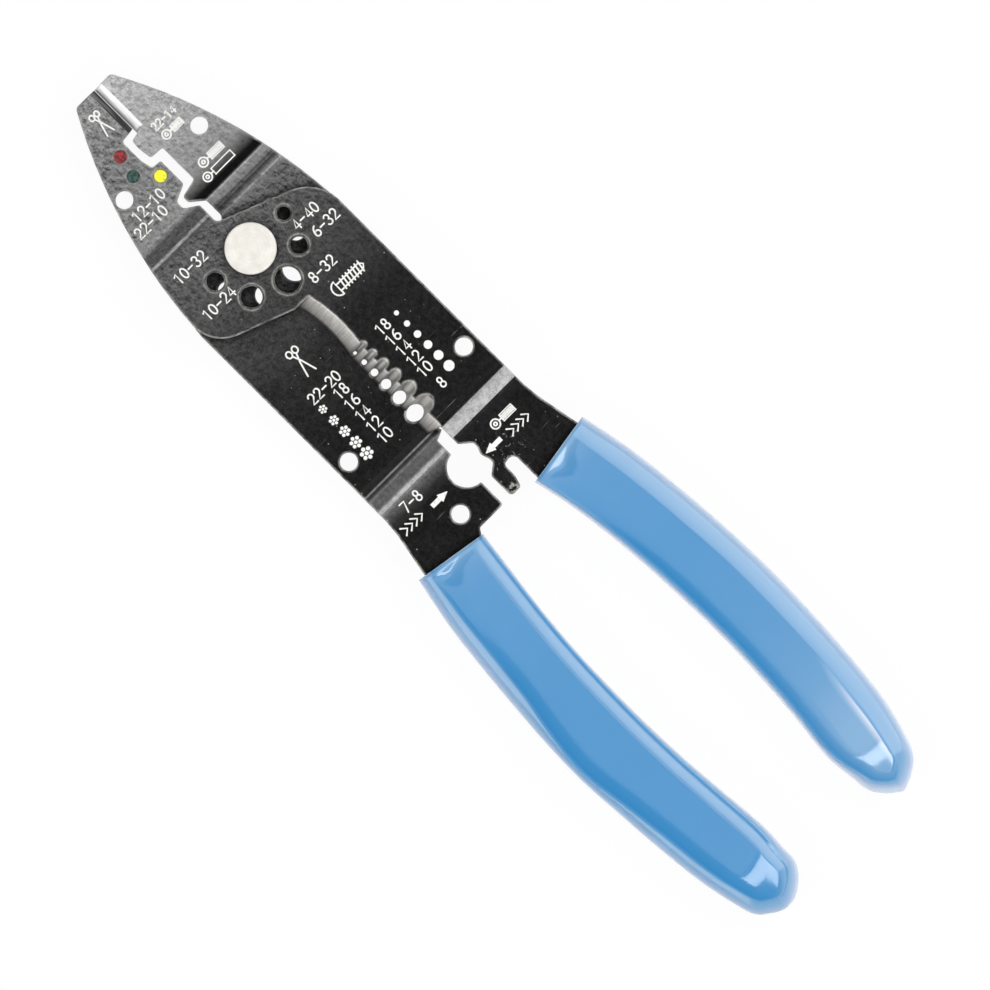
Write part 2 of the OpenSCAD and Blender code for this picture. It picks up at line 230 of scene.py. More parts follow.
# %% [markdown]
# The studio is a pale table under a pale sky, with two long softboxes beside the tool and a
# window-like pair of panes past its tail. The long boxes draw the bright bands along the grips.
# The panes draw the glints on the tails, and light the sloped steps of the levers. These lamps
# and the one overhead are seen in reflections only. Three square ones give diffuse light
# only, and the last one, at the nose, gives both.
# The floor is white for the camera and for reflections, and keeps part of a real shadow.

# %% Floor and sky
floor_size = 8.0
floor_drop = 0.05 * mm
floor_grey = 0.9
floor_glow = 0.95
sky_light = 0.26


def seen_directly(tree):
    """1 for camera, glossy and transmission rays, 0 for diffuse light and shadows."""
    path = add(tree, "ShaderNodeLightPath").outputs
    two = maths(tree, "MAXIMUM", path["Is Camera Ray"], path["Is Glossy Ray"])
    return maths(tree, "MAXIMUM", two, path["Is Transmission Ray"])


def pale_floor():
    material, tree, shader = new_material("pale_floor")
    fill(tree, shader, {"Base Color": grey(floor_grey), "Roughness": 1.0})
    glow = add(tree, "ShaderNodeEmission", grey(1.0), 1.0)
    share = product(tree, seen_directly(tree), floor_glow)
    blend = add(tree, "ShaderNodeMixShader", share, shader.outputs[0], glow.outputs[0])
    fill(tree, tree.nodes["Material Output"], {"Surface": blend.outputs[0]})
    return material


floor_mesh = bpy.data.meshes.new("floor")
half = floor_size / 2
flat_corners = ((-half, -half), (half, -half), (half, half), (-half, half))
corners = [(x, y, -floor_drop) for x, y in flat_corners]
floor_mesh.from_pydata(corners, [], [(0, 1, 2, 3)])
floor_mesh.materials.append(pale_floor())
floor = in_scene("floor", floor_mesh)

world = bpy.data.worlds.new("sky")
world.use_nodes = True
bpy.context.scene.world = world
sky = world.node_tree
sky_strength = maths(sky, "MAXIMUM", seen_directly(sky), sky_light)
fill(sky, sky.nodes["Background"], {"Color": grey(1.0), "Strength": sky_strength})
bpy.context.scene.view_settings.view_transform = "Standard"
print("floor and sky are white to the camera")

# %% Softboxes
lamp_centre = Vector((-60 * mm, 0, 0))


def softbox(name, side, zenith, distance, across, along, brightness, use="both"):
    """A lamp on one side of the tool, at an angle from straight up, that faces the tool.

    Sizes are in metres. use is "body" for diffuse light, "gloss" for reflections, or "both".
    """
    tilt = math.radians(zenith)
    direction = Vector(side).normalized() * math.sin(tilt) + Vector((0, 0, math.cos(tilt)))
    data = bpy.data.lights.new(name, "AREA")
    data.shape = "RECTANGLE"
    data.size = across
    data.size_y = along
    # Cycles gives a rectangle of a watts a brightness of a / (4 * area)
    data.energy = brightness * 4 * across * along
    lamp = in_scene(name, data)
    turn = Vector((0, 0, 1)).cross(Vector(side)).normalized()
    axes = Matrix((turn, turn.cross(direction), direction)).transposed()
    lamp.matrix_world = Matrix.Translation(lamp_centre + direction * distance) @ axes.to_4x4()
    lamp.visible_camera = False
    lamp.visible_diffuse = use != "gloss"
    lamp.visible_glossy = use != "body"
    return lamp


# Name, side, angle, distance, size across and along, brightness, use
softbox("key_right", (-0.3, -1, 0), 48, 1.2, 0.8, 0.8, 3.6, "body")
softbox("key_tail", (-1, 0, 0), 50, 1.2, 0.6, 0.6, 2.6, "body")
softbox("fill_left", (0.2, 1, 0), 55, 1.2, 0.6, 0.6, 4.6, "body")
softbox("over_box", (0, -1, 0), 7, 2.6, 0.9, 1.2, 1.25, "gloss")
softbox("long_box_right", (0, -1, 0), 44, 0.9, 1.1, 0.75, 2.8, "gloss")
softbox("long_box_left", (0, 1, 0), 58, 0.9, 1.1, 0.55, 2.6, "gloss")
softbox("window_upper", (-1, 0, 0), 17.3, 1.6, 0.4, 0.2, 8.5, "gloss")
softbox("window_lower", (-1, -0.25, 0), 25.5, 1.6, 0.22, 0.25, 8.5, "gloss")
softbox("nose_fill", (1, 0, 0), 48, 0.8, 0.4, 0.3, 1.6)

# %% [markdown]
# The levers are black-coated steel. The coat is a thin conversion layer, so it is nearly black
# on the rolled plate. Towards the jaws it is paler, partly where the press has rubbed it and
# partly as a painted sheen, and pebbled like leather there, with painted light and shade on the
# pebbles.
# A few pale specks of dust and fine scratches lie on it. Bare steel shows where an edge was
# ground: along the strippers, in the wire cutter and on the nose cutter. The finish changes
# with the place on the lever, so the material reads Object coordinates and the normal.

# %% Places on the levers where the steel is ground
strip_span = (-53 * mm, -12.5 * mm)
strip_reach = (-4.3 * mm, 4.3 * mm)
nose_span = (31.5 * mm, 45 * mm)
nose_reach = (-2.35 * mm, 2.35 * mm)
sharp = 0.02 * mm
# A ground face is tilted: its normal points straight up by less than this
flat_from, flat_to = 0.86, 0.92


def ground_masks(tree, x, y, up):
    """1 on the ground faces of the strippers, on those of the nose cutter, and all round it."""
    tilted = mapped(tree, maths(tree, "ABSOLUTE", up), flat_from, flat_to, 1.0, 0.0)
    strip_x = between(tree, x, *strip_span, sharp)
    nose_x = between(tree, x, *nose_span, sharp)
    strip = product(tree, strip_x, between(tree, y, *strip_reach, sharp), tilted)
    nose_area = product(tree, nose_x, between(tree, y, *nose_reach, sharp))
    return strip, product(tree, nose_area, tilted), nose_area


print(f"strippers from {strip_span[0] / mm:.0f} to {strip_span[1] / mm:.1f} mm")

# %% Brushed steel
strip_brush = (5200, 320, 320)
strip_lines = (1.0, 3.0, 0.6)
strip_colours = [(0.25, (0.15, 0.147, 0.14, 1.0)), (0.8, (0.33, 0.32, 0.305, 1.0))]
# A painted sheen: the strippers' bevel is bright along one edge and dims towards the other
strip_lit_y = (-2.2 * mm, 0.9 * mm)
strip_lit = (1.75, 0.4)
nose_brush = (150, 3600, 150)
nose_lines = (1.0, 2.0, 0.5)
nose_places = (0.45, 0.62)


def ground_steel(tree, where, y, nose, nose_levels):
    """Brushed steel. nose_levels are its dark and bright grey on the nose cutter."""
    lines = noise(tree, stretched(tree, where, strip_brush), *strip_lines)
    lit = mapped(tree, y, *strip_lit_y, *strip_lit)
    strip_steel = scaled(tree, ramp(tree, lines, strip_colours), lit)
    streaks = noise(tree, stretched(tree, where, nose_brush), *nose_lines)
    stops = [(place, grey(level)) for place, level in zip(nose_places, nose_levels)]
    return mixed(tree, nose, strip_steel, ramp(tree, streaks, stops))


print("the strippers' bevel dims over", round((strip_lit_y[1] - strip_lit_y[0]) / mm, 1), "mm")

# %% [markdown]
# The four bends carry painted highlights and shade: a bright line on each side, where the bend
# would catch a lamp, and a slope with a painted tone of its own, as it would be lit. A colour
# ramp has only 256 steps, which is too coarse for such lines over a whole lever, so each bend
# has a short ramp of its own, laid over the long one.

# %% Tones along a lever
# Each stop is a place on the X axis in mm and a grey. The greys grow paler towards the nose,
# partly as rubbed coat and partly as a painted sheen
front_tones = [
    (-75, 0.009), (-40, 0.009), (-22, 0.012), (-9, 0.031), (2, 0.066), (10, 0.10), (15, 0.23),
    (26, 0.19), (42, 0.26),
]
# Painted highlights and shade: bright lines where the bend's edges would catch a lamp, and a slope
# with a lit or shaded painted tone
front_rear_bend_shading = [
    (-56.0, 0.010), (-54.75, 0.010), (-54.65, 0.003), (-54.45, 0.003), (-54.3, 0.48),
    (-52.5, 0.46), (-51.5, 0.36), (-51.3, 0.004), (-50.8, 0.004), (-50.7, 0.010), (-49.5, 0.010),
]
front_nose_bend_shading = [
    (9.5, 0.083), (9.9, 0.06), (10.15, 0.07), (10.35, 0.37), (10.75, 0.33), (11.0, 0.065),
    (13.2, 0.07), (13.5, 0.14), (14.1, 0.24), (14.4, 0.34), (14.65, 0.26), (16.0, 0.24),
]
# The back lever's greys rise higher at the nose: partly rubbed coat, partly a painted sheen
back_tones = [
    (-75, 0.008), (-40, 0.009), (-24, 0.017), (-12, 0.034), (6, 0.11), (18, 0.25), (30, 0.42),
    (42, 0.55),
]
# Painted highlights and shade on the back lever's bends, with a dark band of painted shade
back_rear_bend_shading = [
    (-59.5, 0.012), (-58.2, 0.02), (-56.0, 0.095), (-55.3, 0.20), (-55.1, 0.46), (-54.6, 0.48),
    (-54.2, 0.18), (-53.9, 0.11), (-52.2, 0.105), (-51.8, 0.17), (-51.4, 0.05), (-50.9, 0.010),
    (-50.75, 0.19), (-50.5, 0.19), (-50.4, 0.012), (-49.0, 0.015),
]
back_nose_bend_shading = [
    (7.6, 0.15), (8.5, 0.20), (8.8, 0.36), (9.1, 0.18), (9.7, 0.05), (10.1, 0.01), (10.4, 0.09),
    (10.8, 0.05), (11.1, 0.18), (12.6, 0.26), (12.85, 0.46), (13.1, 0.05), (13.3, 0.0),
    (14.5, 0.0), (14.9, 0.006), (15.3, 0.02), (15.8, 0.06), (16.5, 0.12), (17.2, 0.18),
    (18.5, 0.27),
]
bend_fade = 0.1 * mm


def banded(tree, x, stops):
    """Greys along X through the stops, and a mask that is 1 within them."""
    first, last = stops[0][0] * mm, stops[-1][0] * mm
    shares = [(place * mm - first) / (last - first) for place, _ in stops]
    tones = [(share, grey(level)) for share, (_, level) in zip(shares, stops)]
    tone = ramp(tree, mapped(tree, x, first, last), tones)
    return tone, between(tree, x, first, last, bend_fade)


print("bends from", front_rear_bend_shading[0][0], "and from", front_nose_bend_shading[0][0], "mm")

# %% [markdown]
# Wear is masks: small pale specks, hair-thin scratches, cracks in worn spots of the coat, and
# bright sharp edges, which are partly rubbed coat and partly a painted highlight. The edges
# come from a Bevel node, whose rounded normal departs from the flat one near an edge only.

# %% Dust, scratches and scuffs
dust = {"scale": 850.0, "size": (0.06, 0.12), "chance": (0.68, 0.72), "level": 1.0}
hair_turn = math.radians(38)
hair_brush = (2600, 90, 90)
hair_lines = (1.0, 2.0, 0.7)
hair_span = (0.73, 0.80)
hair_level = 0.5
crack_noise = (330.0, 3.0, 0.6)
crack_core = 0.6
gap_noise = (1400.0, 2.0)
gap_span = (0.52, 0.62)
crack_level = 0.8


def dust_and_scratches(tree, where):
    """Small pale specks and fine scratches, as a mask."""
    speck, lot = specks(tree, where, **dust)
    hair = noise(tree, stretched(tree, where, hair_brush, hair_turn), *hair_lines)
    scratch = mapped(tree, hair, *hair_span, 0.0, hair_level)
    return maths(tree, "MAXIMUM", product(tree, speck, lot), scratch)


def scuffs(tree, where, centre, radius, line_w):
    """Broken cracks of worn coat round a place, given in mm: the level lines of a noise."""
    place = (centre[0] * mm, centre[1] * mm, level_top)
    away = add(tree, "ShaderNodeVectorMath", where, place, operation="DISTANCE").outputs["Value"]
    near = mapped(tree, away, radius * crack_core * mm, radius * mm, 1.0, 0.0)
    field = noise(tree, where, *crack_noise)
    off_line = maths(tree, "ABSOLUTE", maths(tree, "SUBTRACT", field, 0.5))
    line = mapped(tree, off_line, line_w / 2, line_w, 1.0, 0.0)
    gaps = mapped(tree, noise(tree, where, *gap_noise), *gap_span, 0.0, crack_level)
    return product(tree, near, line, gaps)


print("a dust cell is about", round(1 / dust["scale"] / mm, 1), "mm wide")

# %% Rubbed edges
edge_w = 0.7 * mm
edge_turn = (0.998, 0.95)
patch_noise = (420.0, 4.0, 0.7)
patch_span = (0.38, 0.60)
least_rub = 0.25


def rubbed_edge_and_highlight(tree, where):
    """1 on sharp edges, rubbed coat in patches with a painted highlight, and the rounded normal."""
    rounded = add(tree, "ShaderNodeBevel", edge_w, samples=6).outputs[0]
    flat = add(tree, "ShaderNodeNewGeometry").outputs["True Normal"]
    turned = add(tree, "ShaderNodeVectorMath", rounded, flat, operation="DOT_PRODUCT")
    near = mapped(tree, turned.outputs["Value"], *edge_turn)
    patchy = mapped(tree, noise(tree, where, *patch_noise), *patch_span, least_rub)
    return product(tree, near, patchy), rounded


# The rubbed edges also carry a painted highlight
print(f"edges are rubbed over {edge_w / mm} mm")

# %% Grain of the coat
leather_noise = (900.0, 3.0, 0.5)
leather_share = 0.7
cloud_noise = (150.0, 2.0)
cloud_share = 0.25
fine_noise = (5200.0, 2.0)
mottle_span = (0.82, 1.14)
mottle_depth = 0.6
# Painted light and shade: the difference of the leather pattern from itself, one step aside,
# makes each pebble paler on one side and darker on the other
pebble_light_step = (0.22 * mm, -0.22 * mm, 0)
pebble_shade_depth = 3.6
corner_reach = 1.4 * mm
corner_power = 2.0


def coat_grain(tree, where, rubbed):
    """Uneven tone with painted shade on the pebbles, and the coat's leather and fine patterns."""
    leather, fine = noise(tree, where, *leather_noise), noise(tree, where, *fine_noise)
    mottle = maths(tree, "MULTIPLY_ADD", leather, leather_share, fine)
    mottle = maths(tree, "MULTIPLY_ADD", noise(tree, where, *cloud_noise), cloud_share, mottle)
    mottle_and_shade = mapped(tree, mottle, *mottle_span, -mottle_depth, mottle_depth)
    beside = add(tree, "ShaderNodeVectorMath", where, pebble_light_step, operation="ADD").outputs[0]
    pebble_shade = maths(tree, "SUBTRACT", leather, noise(tree, beside, *leather_noise))
    mottle_and_shade = maths(tree, "MULTIPLY_ADD", product(tree, pebble_shade, rubbed), pebble_shade_depth, mottle_and_shade)
    return mottle_and_shade, leather, fine


def corner_shade(tree):
    """Painted shade: less than 1 in inner corners, from ambient occlusion."""
    corner = add(tree, "ShaderNodeAmbientOcclusion", samples=8)
    fill(tree, corner, {"Distance": corner_reach})
    return maths(tree, "POWER", corner.outputs["AO"], corner_power)


print("a pebble is about", round(1 / leather_noise[0] / mm, 1), "mm wide")

# %% Coat with ground steel
rubbed_span = (-24 * mm, 4 * mm)
calm_span = (4 * mm, 16 * mm)
bend_calm = -0.5
nose_edge = -0.9
# Pale grey of worn coat, and of the painted highlight along sharp edges
wear_and_highlight_colour = (0.50, 0.49, 0.46, 1.0)
ground_metal = 0.8
ground_rough = 0.42
coat_rough, leather_rough = 0.30, 0.16
coat_gloss, rubbed_gloss, edge_gloss = 0.04, 0.26, 0.5
# The gloss falls to a fifth from this tone down to black
matt_below, least_gloss = 0.012, 0.2
least_relief, fine_relief = 0.25, 0.12
relief_strength, relief_depth = 1.0, 1.4 * mm


def coated_steel(name, tones, bends, nose_levels, nose_calm, scuffed):
    """A lever's finish.

    nose_levels are the dark and bright grey of the nose cutter, and nose_calm is how much of
    the grain is left on the nose. scuffed holds (place, radius, line width) of worn spots.
    """
    material, tree, shader = new_material(name)
    given = coordinates(tree)
    where = given["Object"]
    x, y, _ = add(tree, "ShaderNodeSeparateXYZ", where).outputs
    up = add(tree, "ShaderNodeSeparateXYZ", given["Normal"]).outputs[2]
    rubbed = mapped(tree, x, *rubbed_span)

    tone = banded(tree, x, tones)[0]
    calm = mapped(tree, x, *calm_span, 1.0, nose_calm)
    # The bends' painted highlights and shade lie over the tones, and calm the grain there
    for bend in bends:
        bend_tone, mask = banded(tree, x, bend)
        tone = mixed(tree, mask, tone, bend_tone)
        calm = product(tree, maths(tree, "MULTIPLY_ADD", mask, bend_calm, 1.0), calm)
    mottle_and_shade, leather, fine = coat_grain(tree, where, rubbed)
    # The coat's own mottle, with painted shade on the pebbles and in inner corners
    shade = product(tree, maths(tree, "MULTIPLY_ADD", mottle_and_shade, calm, 1.0), corner_shade(tree))

    strip, nose, nose_area = ground_masks(tree, x, y, up)
    ground = maths(tree, "MAXIMUM", strip, nose)
    marks = dust_and_scratches(tree, where)
    for place, radius, line_w in scuffed:
        marks = maths(tree, "MAXIMUM", marks, scuffs(tree, where, place, radius, line_w))
    edge, rounded = rubbed_edge_and_highlight(tree, where)
    edge = product(tree, edge, maths(tree, "MULTIPLY_ADD", nose_area, nose_edge, 1.0))
    marks = maths(tree, "MAXIMUM", marks, edge)
    # Wear and, along sharp edges, a painted highlight in one pale grey
    coat = mixed(tree, marks, scaled(tree, tone, shade), wear_and_highlight_colour)
    steel = ground_steel(tree, where, y, nose, nose_levels)

    worn = maths(tree, "MULTIPLY_ADD", leather, leather_rough, coat_rough)
    rough = add(tree, "ShaderNodeMix", ground, None, worn, ground_rough, data_type="FLOAT")
    polish = mapped(tree, tone, 0.0, matt_below, least_gloss, 1.0)
    gloss = product(tree, maths(tree, "MULTIPLY_ADD", rubbed, rubbed_gloss, coat_gloss), polish)
    gloss = maths(tree, "MAXIMUM", gloss, product(tree, edge, edge_gloss))
    fill(tree, shader, {
        "Base Color": mixed(tree, ground, coat, steel), "Roughness": rough.outputs[0],
        "Metallic": product(tree, ground, ground_metal), "Specular IOR Level": gloss,
    })

    coated = maths(tree, "SUBTRACT", 1.0, ground)
    relief = product(tree, maths(tree, "ADD", rubbed, least_relief), coated)
    height = product(tree, maths(tree, "MULTIPLY_ADD", fine, fine_relief, leather), relief)
    give_relief(tree, shader, height, relief_strength, relief_depth, rounded)
    return material


# The front lever's nose cutter is ground steel painted dark grey, as painted shade. The back
# lever's keeps the steel's own grey
front_coat = coated_steel(
    "coated_steel_front", front_tones, (front_rear_bend_shading, front_nose_bend_shading), (0.03, 0.13), 0.8,
    [((-64.0, -6.6), 5.5, 0.010), ((-69.8, -3.2), 1.5, 0.2)],
)
back_coat = coated_steel(
    "coated_steel_back", back_tones, (back_rear_bend_shading, back_nose_bend_shading), (0.44, 0.56), 0.42,
    [((-71.2, 5.6), 1.3, 0.06)],
)
print("coats:", front_coat.name, back_coat.name)

# %% [markdown]
# A turned or cast edge isn't sharp. A Bevel modifier with a Weld before it rounds the loose
# triangles of a small solid. The levers have too many tiny notches for one width to suit them,
# so their material rounds its normal near an edge instead, with a Bevel node.

# %% Rounded edges
edge_limit = math.radians(32)
weld_reach = 0.001 * mm


def soften(node, width):
    """Welds a solid's loose triangles and rounds its edges."""
    weld = node.modifiers.new("weld", "WELD")
    weld.merge_threshold = weld_reach
    bevel = node.modifiers.new("edges", "BEVEL")
    bevel.width = width
    bevel.segments = 2
    bevel.limit_method = "ANGLE"
    bevel.angle_limit = edge_limit
    bevel.harden_normals = True
    bevel.use_clamp_overlap = True
    return node


def finish_node(name, material):
    node = nodes[name]
    node.data.materials.clear()
    node.data.materials.append(material)
    return node


finish_node("front_lever", front_coat)
finish_node("back_lever", back_coat)
for name in ("front_lever", "back_lever"):
    print(name, "has", len(nodes[name].data.polygons), "triangles")

# %% [markdown]
# The rivet is turned from bright steel and plated. Its face is almost white and shows the
# faint rings of the lathe, so its grain is a wave in circles round the Z axis.

# %% Rivet
ring_scale, ring_wobble, ring_detail = 420.0, 1.2, 2.0
ring_share = 0.08
plate_noise = (500.0, 3.0)
plate_colours = [(0.35, (0.60, 0.575, 0.525, 1.0)), (0.8, (0.72, 0.70, 0.655, 1.0))]
groove_strength, groove_depth = 0.12, 0.03 * mm
rivet_edge = 0.08 * mm


def plated_rivet():
    material, tree, shader = new_material("bright_rivet")
    where = coordinates(tree)["Object"]
    rings = add(tree, "ShaderNodeTexWave", where, wave_type="RINGS", rings_direction="Z")
    fill(tree, rings, {"Scale": ring_scale, "Distortion": ring_wobble, "Detail": ring_detail})
    cloud = noise(tree, where, *plate_noise)
    tone = maths(tree, "MULTIPLY_ADD", rings.outputs[1], ring_share, cloud)
    colour = ramp(tree, tone, plate_colours)
    fill(tree, shader, {"Base Color": colour, "Metallic": 0.12, "Roughness": 0.48})
    give_relief(tree, shader, rings.outputs[1], groove_strength, groove_depth)
    return material


finish_node("pivot_rivet", plated_rivet())
soften(nodes["pivot_rivet"], rivet_edge)

# %% [markdown]
# Each dot is a drop of enamel in a drilled dimple. It dries in blotches, with darker patches
# where it is thin, so one noise mixes two shades of its colour and gives the drop its bumps.

# %% Enamel dots
blotch_noise = (1500.0, 3.0, 0.6)
blotch_fade = 0.05
blotch_strength, blotch_depth = 0.9, 0.1 * mm
drop_edge = 0.06 * mm


def enamel(name, bright, dark, balance):
    """Glossy paint in two shades. balance is the level of the noise where they meet."""
    material, tree, shader = new_material(name)
    patch = noise(tree, coordinates(tree)["Object"], *blotch_noise)
    share = mapped(tree, patch, balance - blotch_fade, balance + blotch_fade)
    colour = mixed(tree, share, bright, dark)
    fill(tree, shader, {"Base Color": colour, "Roughness": 0.22, "Specular IOR Level": 0.3})
    give_relief(tree, shader, patch, blotch_strength, blotch_depth)
    return material


dots = {
    "dot_red": ("red_enamel", (0.36, 0.015, 0.02, 1.0), (0.08, 0.004, 0.006, 1.0), 0.50),
    "dot_green": ("green_enamel", (0.02, 0.085, 0.075, 1.0), (0.004, 0.012, 0.010, 1.0), 0.48),
    "dot_yellow": ("yellow_enamel", (0.90, 0.86, 0.03, 1.0), (0.40, 0.37, 0.02, 1.0), 0.64),
}
for name, (slot, bright, dark, balance) in dots.items():
    finish_node(name, enamel(slot, bright, dark, balance))
    soften(nodes[name], drop_edge)
print("dots:", ", ".join(dots))

# %% [markdown]
# The grips are dipped: the hot tang goes into liquid vinyl, which sets as a thick skin. So the
# section is a flat pill. A thin rim rolls over each edge, and a low shoulder climbs from it to
# the crown. Towards the tail the crown falls away in a long curve, which catches the window.
# At the mouth the skin pulls thin and leaves a lip.
# A loft suits this: one ring of points at each station, joined into a skin. The stations are
# shares of the grip's length and reach, and a smooth curve runs through them. A second set of
# rings round the tang makes it a real sleeve with a wall.

# %% Stations of a grip
grip_from = -69.4 * mm
grip_length = tail_x - grip_from
belly_reach = 28.0 * mm
# Outer edge along and out, inner edge along and out, as shares of the length and of the reach
tang_shares = [
    (0, 0.813, 0.026, 0.250), (0.110, 0.892, 0.115, 0.296), (0.213, 0.936, 0.213, 0.341),
    (0.316, 0.968, 0.316, 0.374), (0.419, 0.991, 0.419, 0.392), (0.523, 1, 0.523, 0.395),
    (0.626, 0.982, 0.626, 0.382), (0.729, 0.954, 0.729, 0.357), (0.833, 0.914, 0.838, 0.322),
    (0.915, 0.855, 0.905, 0.328), (0.962, 0.793, 0.946, 0.352), (0.988, 0.700, 0.977, 0.428),
]
back_shares = [
    (0, 0.813, 0.026, 0.262), (0.110, 0.888, 0.115, 0.302), (0.213, 0.932, 0.213, 0.346),
    (0.316, 0.965, 0.316, 0.378), (0.419, 0.991, 0.419, 0.392), (0.523, 0.999, 0.523, 0.393),
    (0.626, 0.977, 0.626, 0.381), (0.729, 0.951, 0.729, 0.354), (0.833, 0.912, 0.838, 0.322),
    (0.915, 0.855, 0.905, 0.329), (0.9617, 0.803, 0.946, 0.339), (0.9855, 0.712, 0.977, 0.416),
    (0.9974, 0.634, 0.9956, 0.515), (0.9990, 0.583, 0.9990, 0.574),
]
front_shares = [
    (0, 0.813, 0.026, 0.250), (0.110, 0.888, 0.115, 0.314), (0.213, 0.932, 0.213, 0.360),
    (0.316, 0.964, 0.316, 0.390), (0.419, 0.983, 0.419, 0.406), (0.523, 0.987, 0.523, 0.412),
    (0.626, 0.975, 0.626, 0.401), (0.729, 0.951, 0.729, 0.377), (0.833, 0.911, 0.838, 0.337),
    (0.915, 0.842, 0.905, 0.358), (0.9605, 0.780, 0.946, 0.377), (0.9830, 0.689, 0.977, 0.448),
    (0.9945, 0.606, 0.9930, 0.517), (0.9992, 0.552, 0.9992, 0.546),
]


def through(rows, t):
    """A smooth curve through rows of numbers, at t counted in rows."""
    i = min(int(t), len(rows) - 2)
    f = t - i
    a, b, c, d = (Vector(rows[max(0, min(len(rows) - 1, i + k))]) for k in (-1, 0, 1, 2))
    return b + f / 2 * ((c - a) + f * ((2 * a - 5 * b + 4 * c - d) + f * (3 * b - a - 3 * c + d)))


def grip_edges(shares, t, side):
    """Outer and inner edge at station t. side is 1 for the back grip and -1 for the front."""
    s = through(shares, t)
    outer = Vector((grip_from + s[0] * grip_length, side * s[1] * belly_reach))
    inner = Vector((grip_from + s[2] * grip_length, side * s[3] * belly_reach))
    return outer, inner


last_station = len(back_shares) - 1
for t in (0, last_station // 2, last_station):
    outer, inner = grip_edges(back_shares, t, 1)
    print(f"station {t}: {(outer - inner).length / mm:.1f} mm wide")

# %% [markdown]
# A flank is one side of the section, from the outline to the crown. Its numbers are the width
# of the rolled rim, a flat shelf behind it, the width and rise of the shoulder, and how much
# of a painted fold, a line of painted shade and a painted highlight, lies along the crown's
# edge. The flanks that face the back of the tool roll over early and climb gently, with painted
# shade as a deeper blue on their shoulders. Those that face its front have a broad, even
# shoulder, which is why they carry the bright bands, and a painted sheen adds to these.

# %% Numbers of the four flanks
# One number for every tenth of the grip's length, in mm; a painted fold is a share
none = [0.0] * 11
slow_rise = [0.05, 0.08, 0.16, 0.23, 0.27, 0.27, 0.27, 0.27, 0.27, 0.27, 0.25]
back_outer = list(zip(
    [2.6, 2.9, 3.1, 2.8, 1.8, 1.15, 1.7, 2.25, 2.4, 2.5, 2.8],
    none,
    [4.5] * 8 + [4.2, 3.2, 1.6],
    slow_rise,
    none,
))
back_inner = list(zip(
    [0.5, 0.45, 0.4, 0.4, 0.45, 0.55, 0.65, 0.8, 1.0, 1.4, 2.6],
    [0.8] * 9 + [0.7, 0.0],
    [2.3] * 9 + [2.0, 1.2],
    [0.55] * 9 + [0.5, 0.4],
    none,
))
front_outer = list(zip(
    [1.6, 1.9, 2.0, 2.1, 2.0, 2.1, 2.1, 2.0, 2.0, 2.0, 2.6],
    none,
    [2.7] * 7 + [2.8, 3.1, 2.6, 1.2],
    [1.0] * 9 + [0.9, 0.5],
    [0, 0, 0, 0, 0, 0, 0, 0.4, 1.0, 1.0, 0.5],
))
front_inner = list(zip(
    [0.9, 0.9, 0.95, 0.95, 0.95, 0.95, 0.95, 0.95, 0.95, 1.4, 2.7],
    none,
    [4.0] * 7 + [4.2, 4.3, 3.2, 1.6],
    slow_rise,
    none,
))
print("flanks have", len(back_outer), "rows of", len(back_outer[0]))

# %% Height and tint on a flank
half_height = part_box("front_grip")[1].z - mid_z
rim_slope = math.radians(62)
crease_w = 0.45 * mm
shelf_shade = 0.3
full_rise = 0.27 * mm
crown_pale = 0.3
# A fold is painted: a line of painted shade and then a painted highlight, at these shares of
# the shoulder
fold_at, fold_reach = 0.9, 0.1
fold_shade, fold_dimming = 0.5, 0.6
glint_from, glint_climb = 0.93, 0.07
glint_w = 2.5 * mm
# power bends the shoulder, edge and crease are the paleness at both ends of the rim, fade says
# how it changes between them, and shine is 1 on a shoulder that stays pale with a painted sheen
gentle = {"power": 1.8, "shine": 0.0, "edge": 0.95, "crease": 0.37, "fade": 0.7}
thin = {"power": 1.8, "shine": 0.0, "edge": 1.0, "crease": 0.37, "fade": 1.9}
even = {"power": 1.3, "shine": 1.0, "edge": 1.0, "crease": 0.55, "fade": 0.85}


def flank_at(distance, rim, shelf, climb, rise, fold, power, shine, edge, crease, fade):
    """Height over the grip's middle, paleness and painted shade at a distance from the outline."""
    base = half_height - rise
    if distance < rim:
        c = 1 - distance / rim * (1 - math.cos(rim_slope))
        height = base * math.sqrt(max(0.0, 1 - c * c)) / math.sin(rim_slope)
        return Vector((height, edge + (crease - edge) * (distance / rim) ** fade, 0))
    left = crease * max(0.0, 1 - (distance - rim) / crease_w)
    x = (distance - rim - shelf) / climb
    if x < 0:
        # A line of painted shade in the crease, along the shelf
        dark = min(1.0, 2 - 2 * abs(2 * (distance - rim) / shelf - 1))
        return Vector((base, crease * (1 - dark), shelf_shade * dark))
    # The fold came in metres with the rest, and is a share again here
    fold_paint = max(0.0, fold) / mm
    if x > 1:
        return Vector((half_height, fold_paint * max(0.0, 1 - ((x - 1) * climb / glint_w) ** 2), 0))
    height = half_height - rise * (1 - x) ** power
    # Painted shade: a deeper blue on a gentle shoulder
    deep_shade = (1 - shine) * rise / full_rise * (1 - x) ** 2
    pale = max(left, shine * (crease + (crown_pale - crease) * x))
    under = fold_paint * max(0.0, 1 - abs(x - fold_at) / fold_reach)
    lit = fold_paint * min(1.0, (x - glint_from) / glint_climb)
    pale = max(pale * (1 - fold_dimming * under), lit)
    return Vector((height, pale, max(deep_shade * (1 - left), fold_shade * under)))


for name, rows, kind in (("gentle", back_outer, gentle), ("even", back_inner, even)):
    heights = [flank_at(d * mm, *(Vector(rows[5]) * mm), **kind)[0] / mm for d in range(6)]
    print(name, "flank climbs", [round(h, 2) for h in heights])

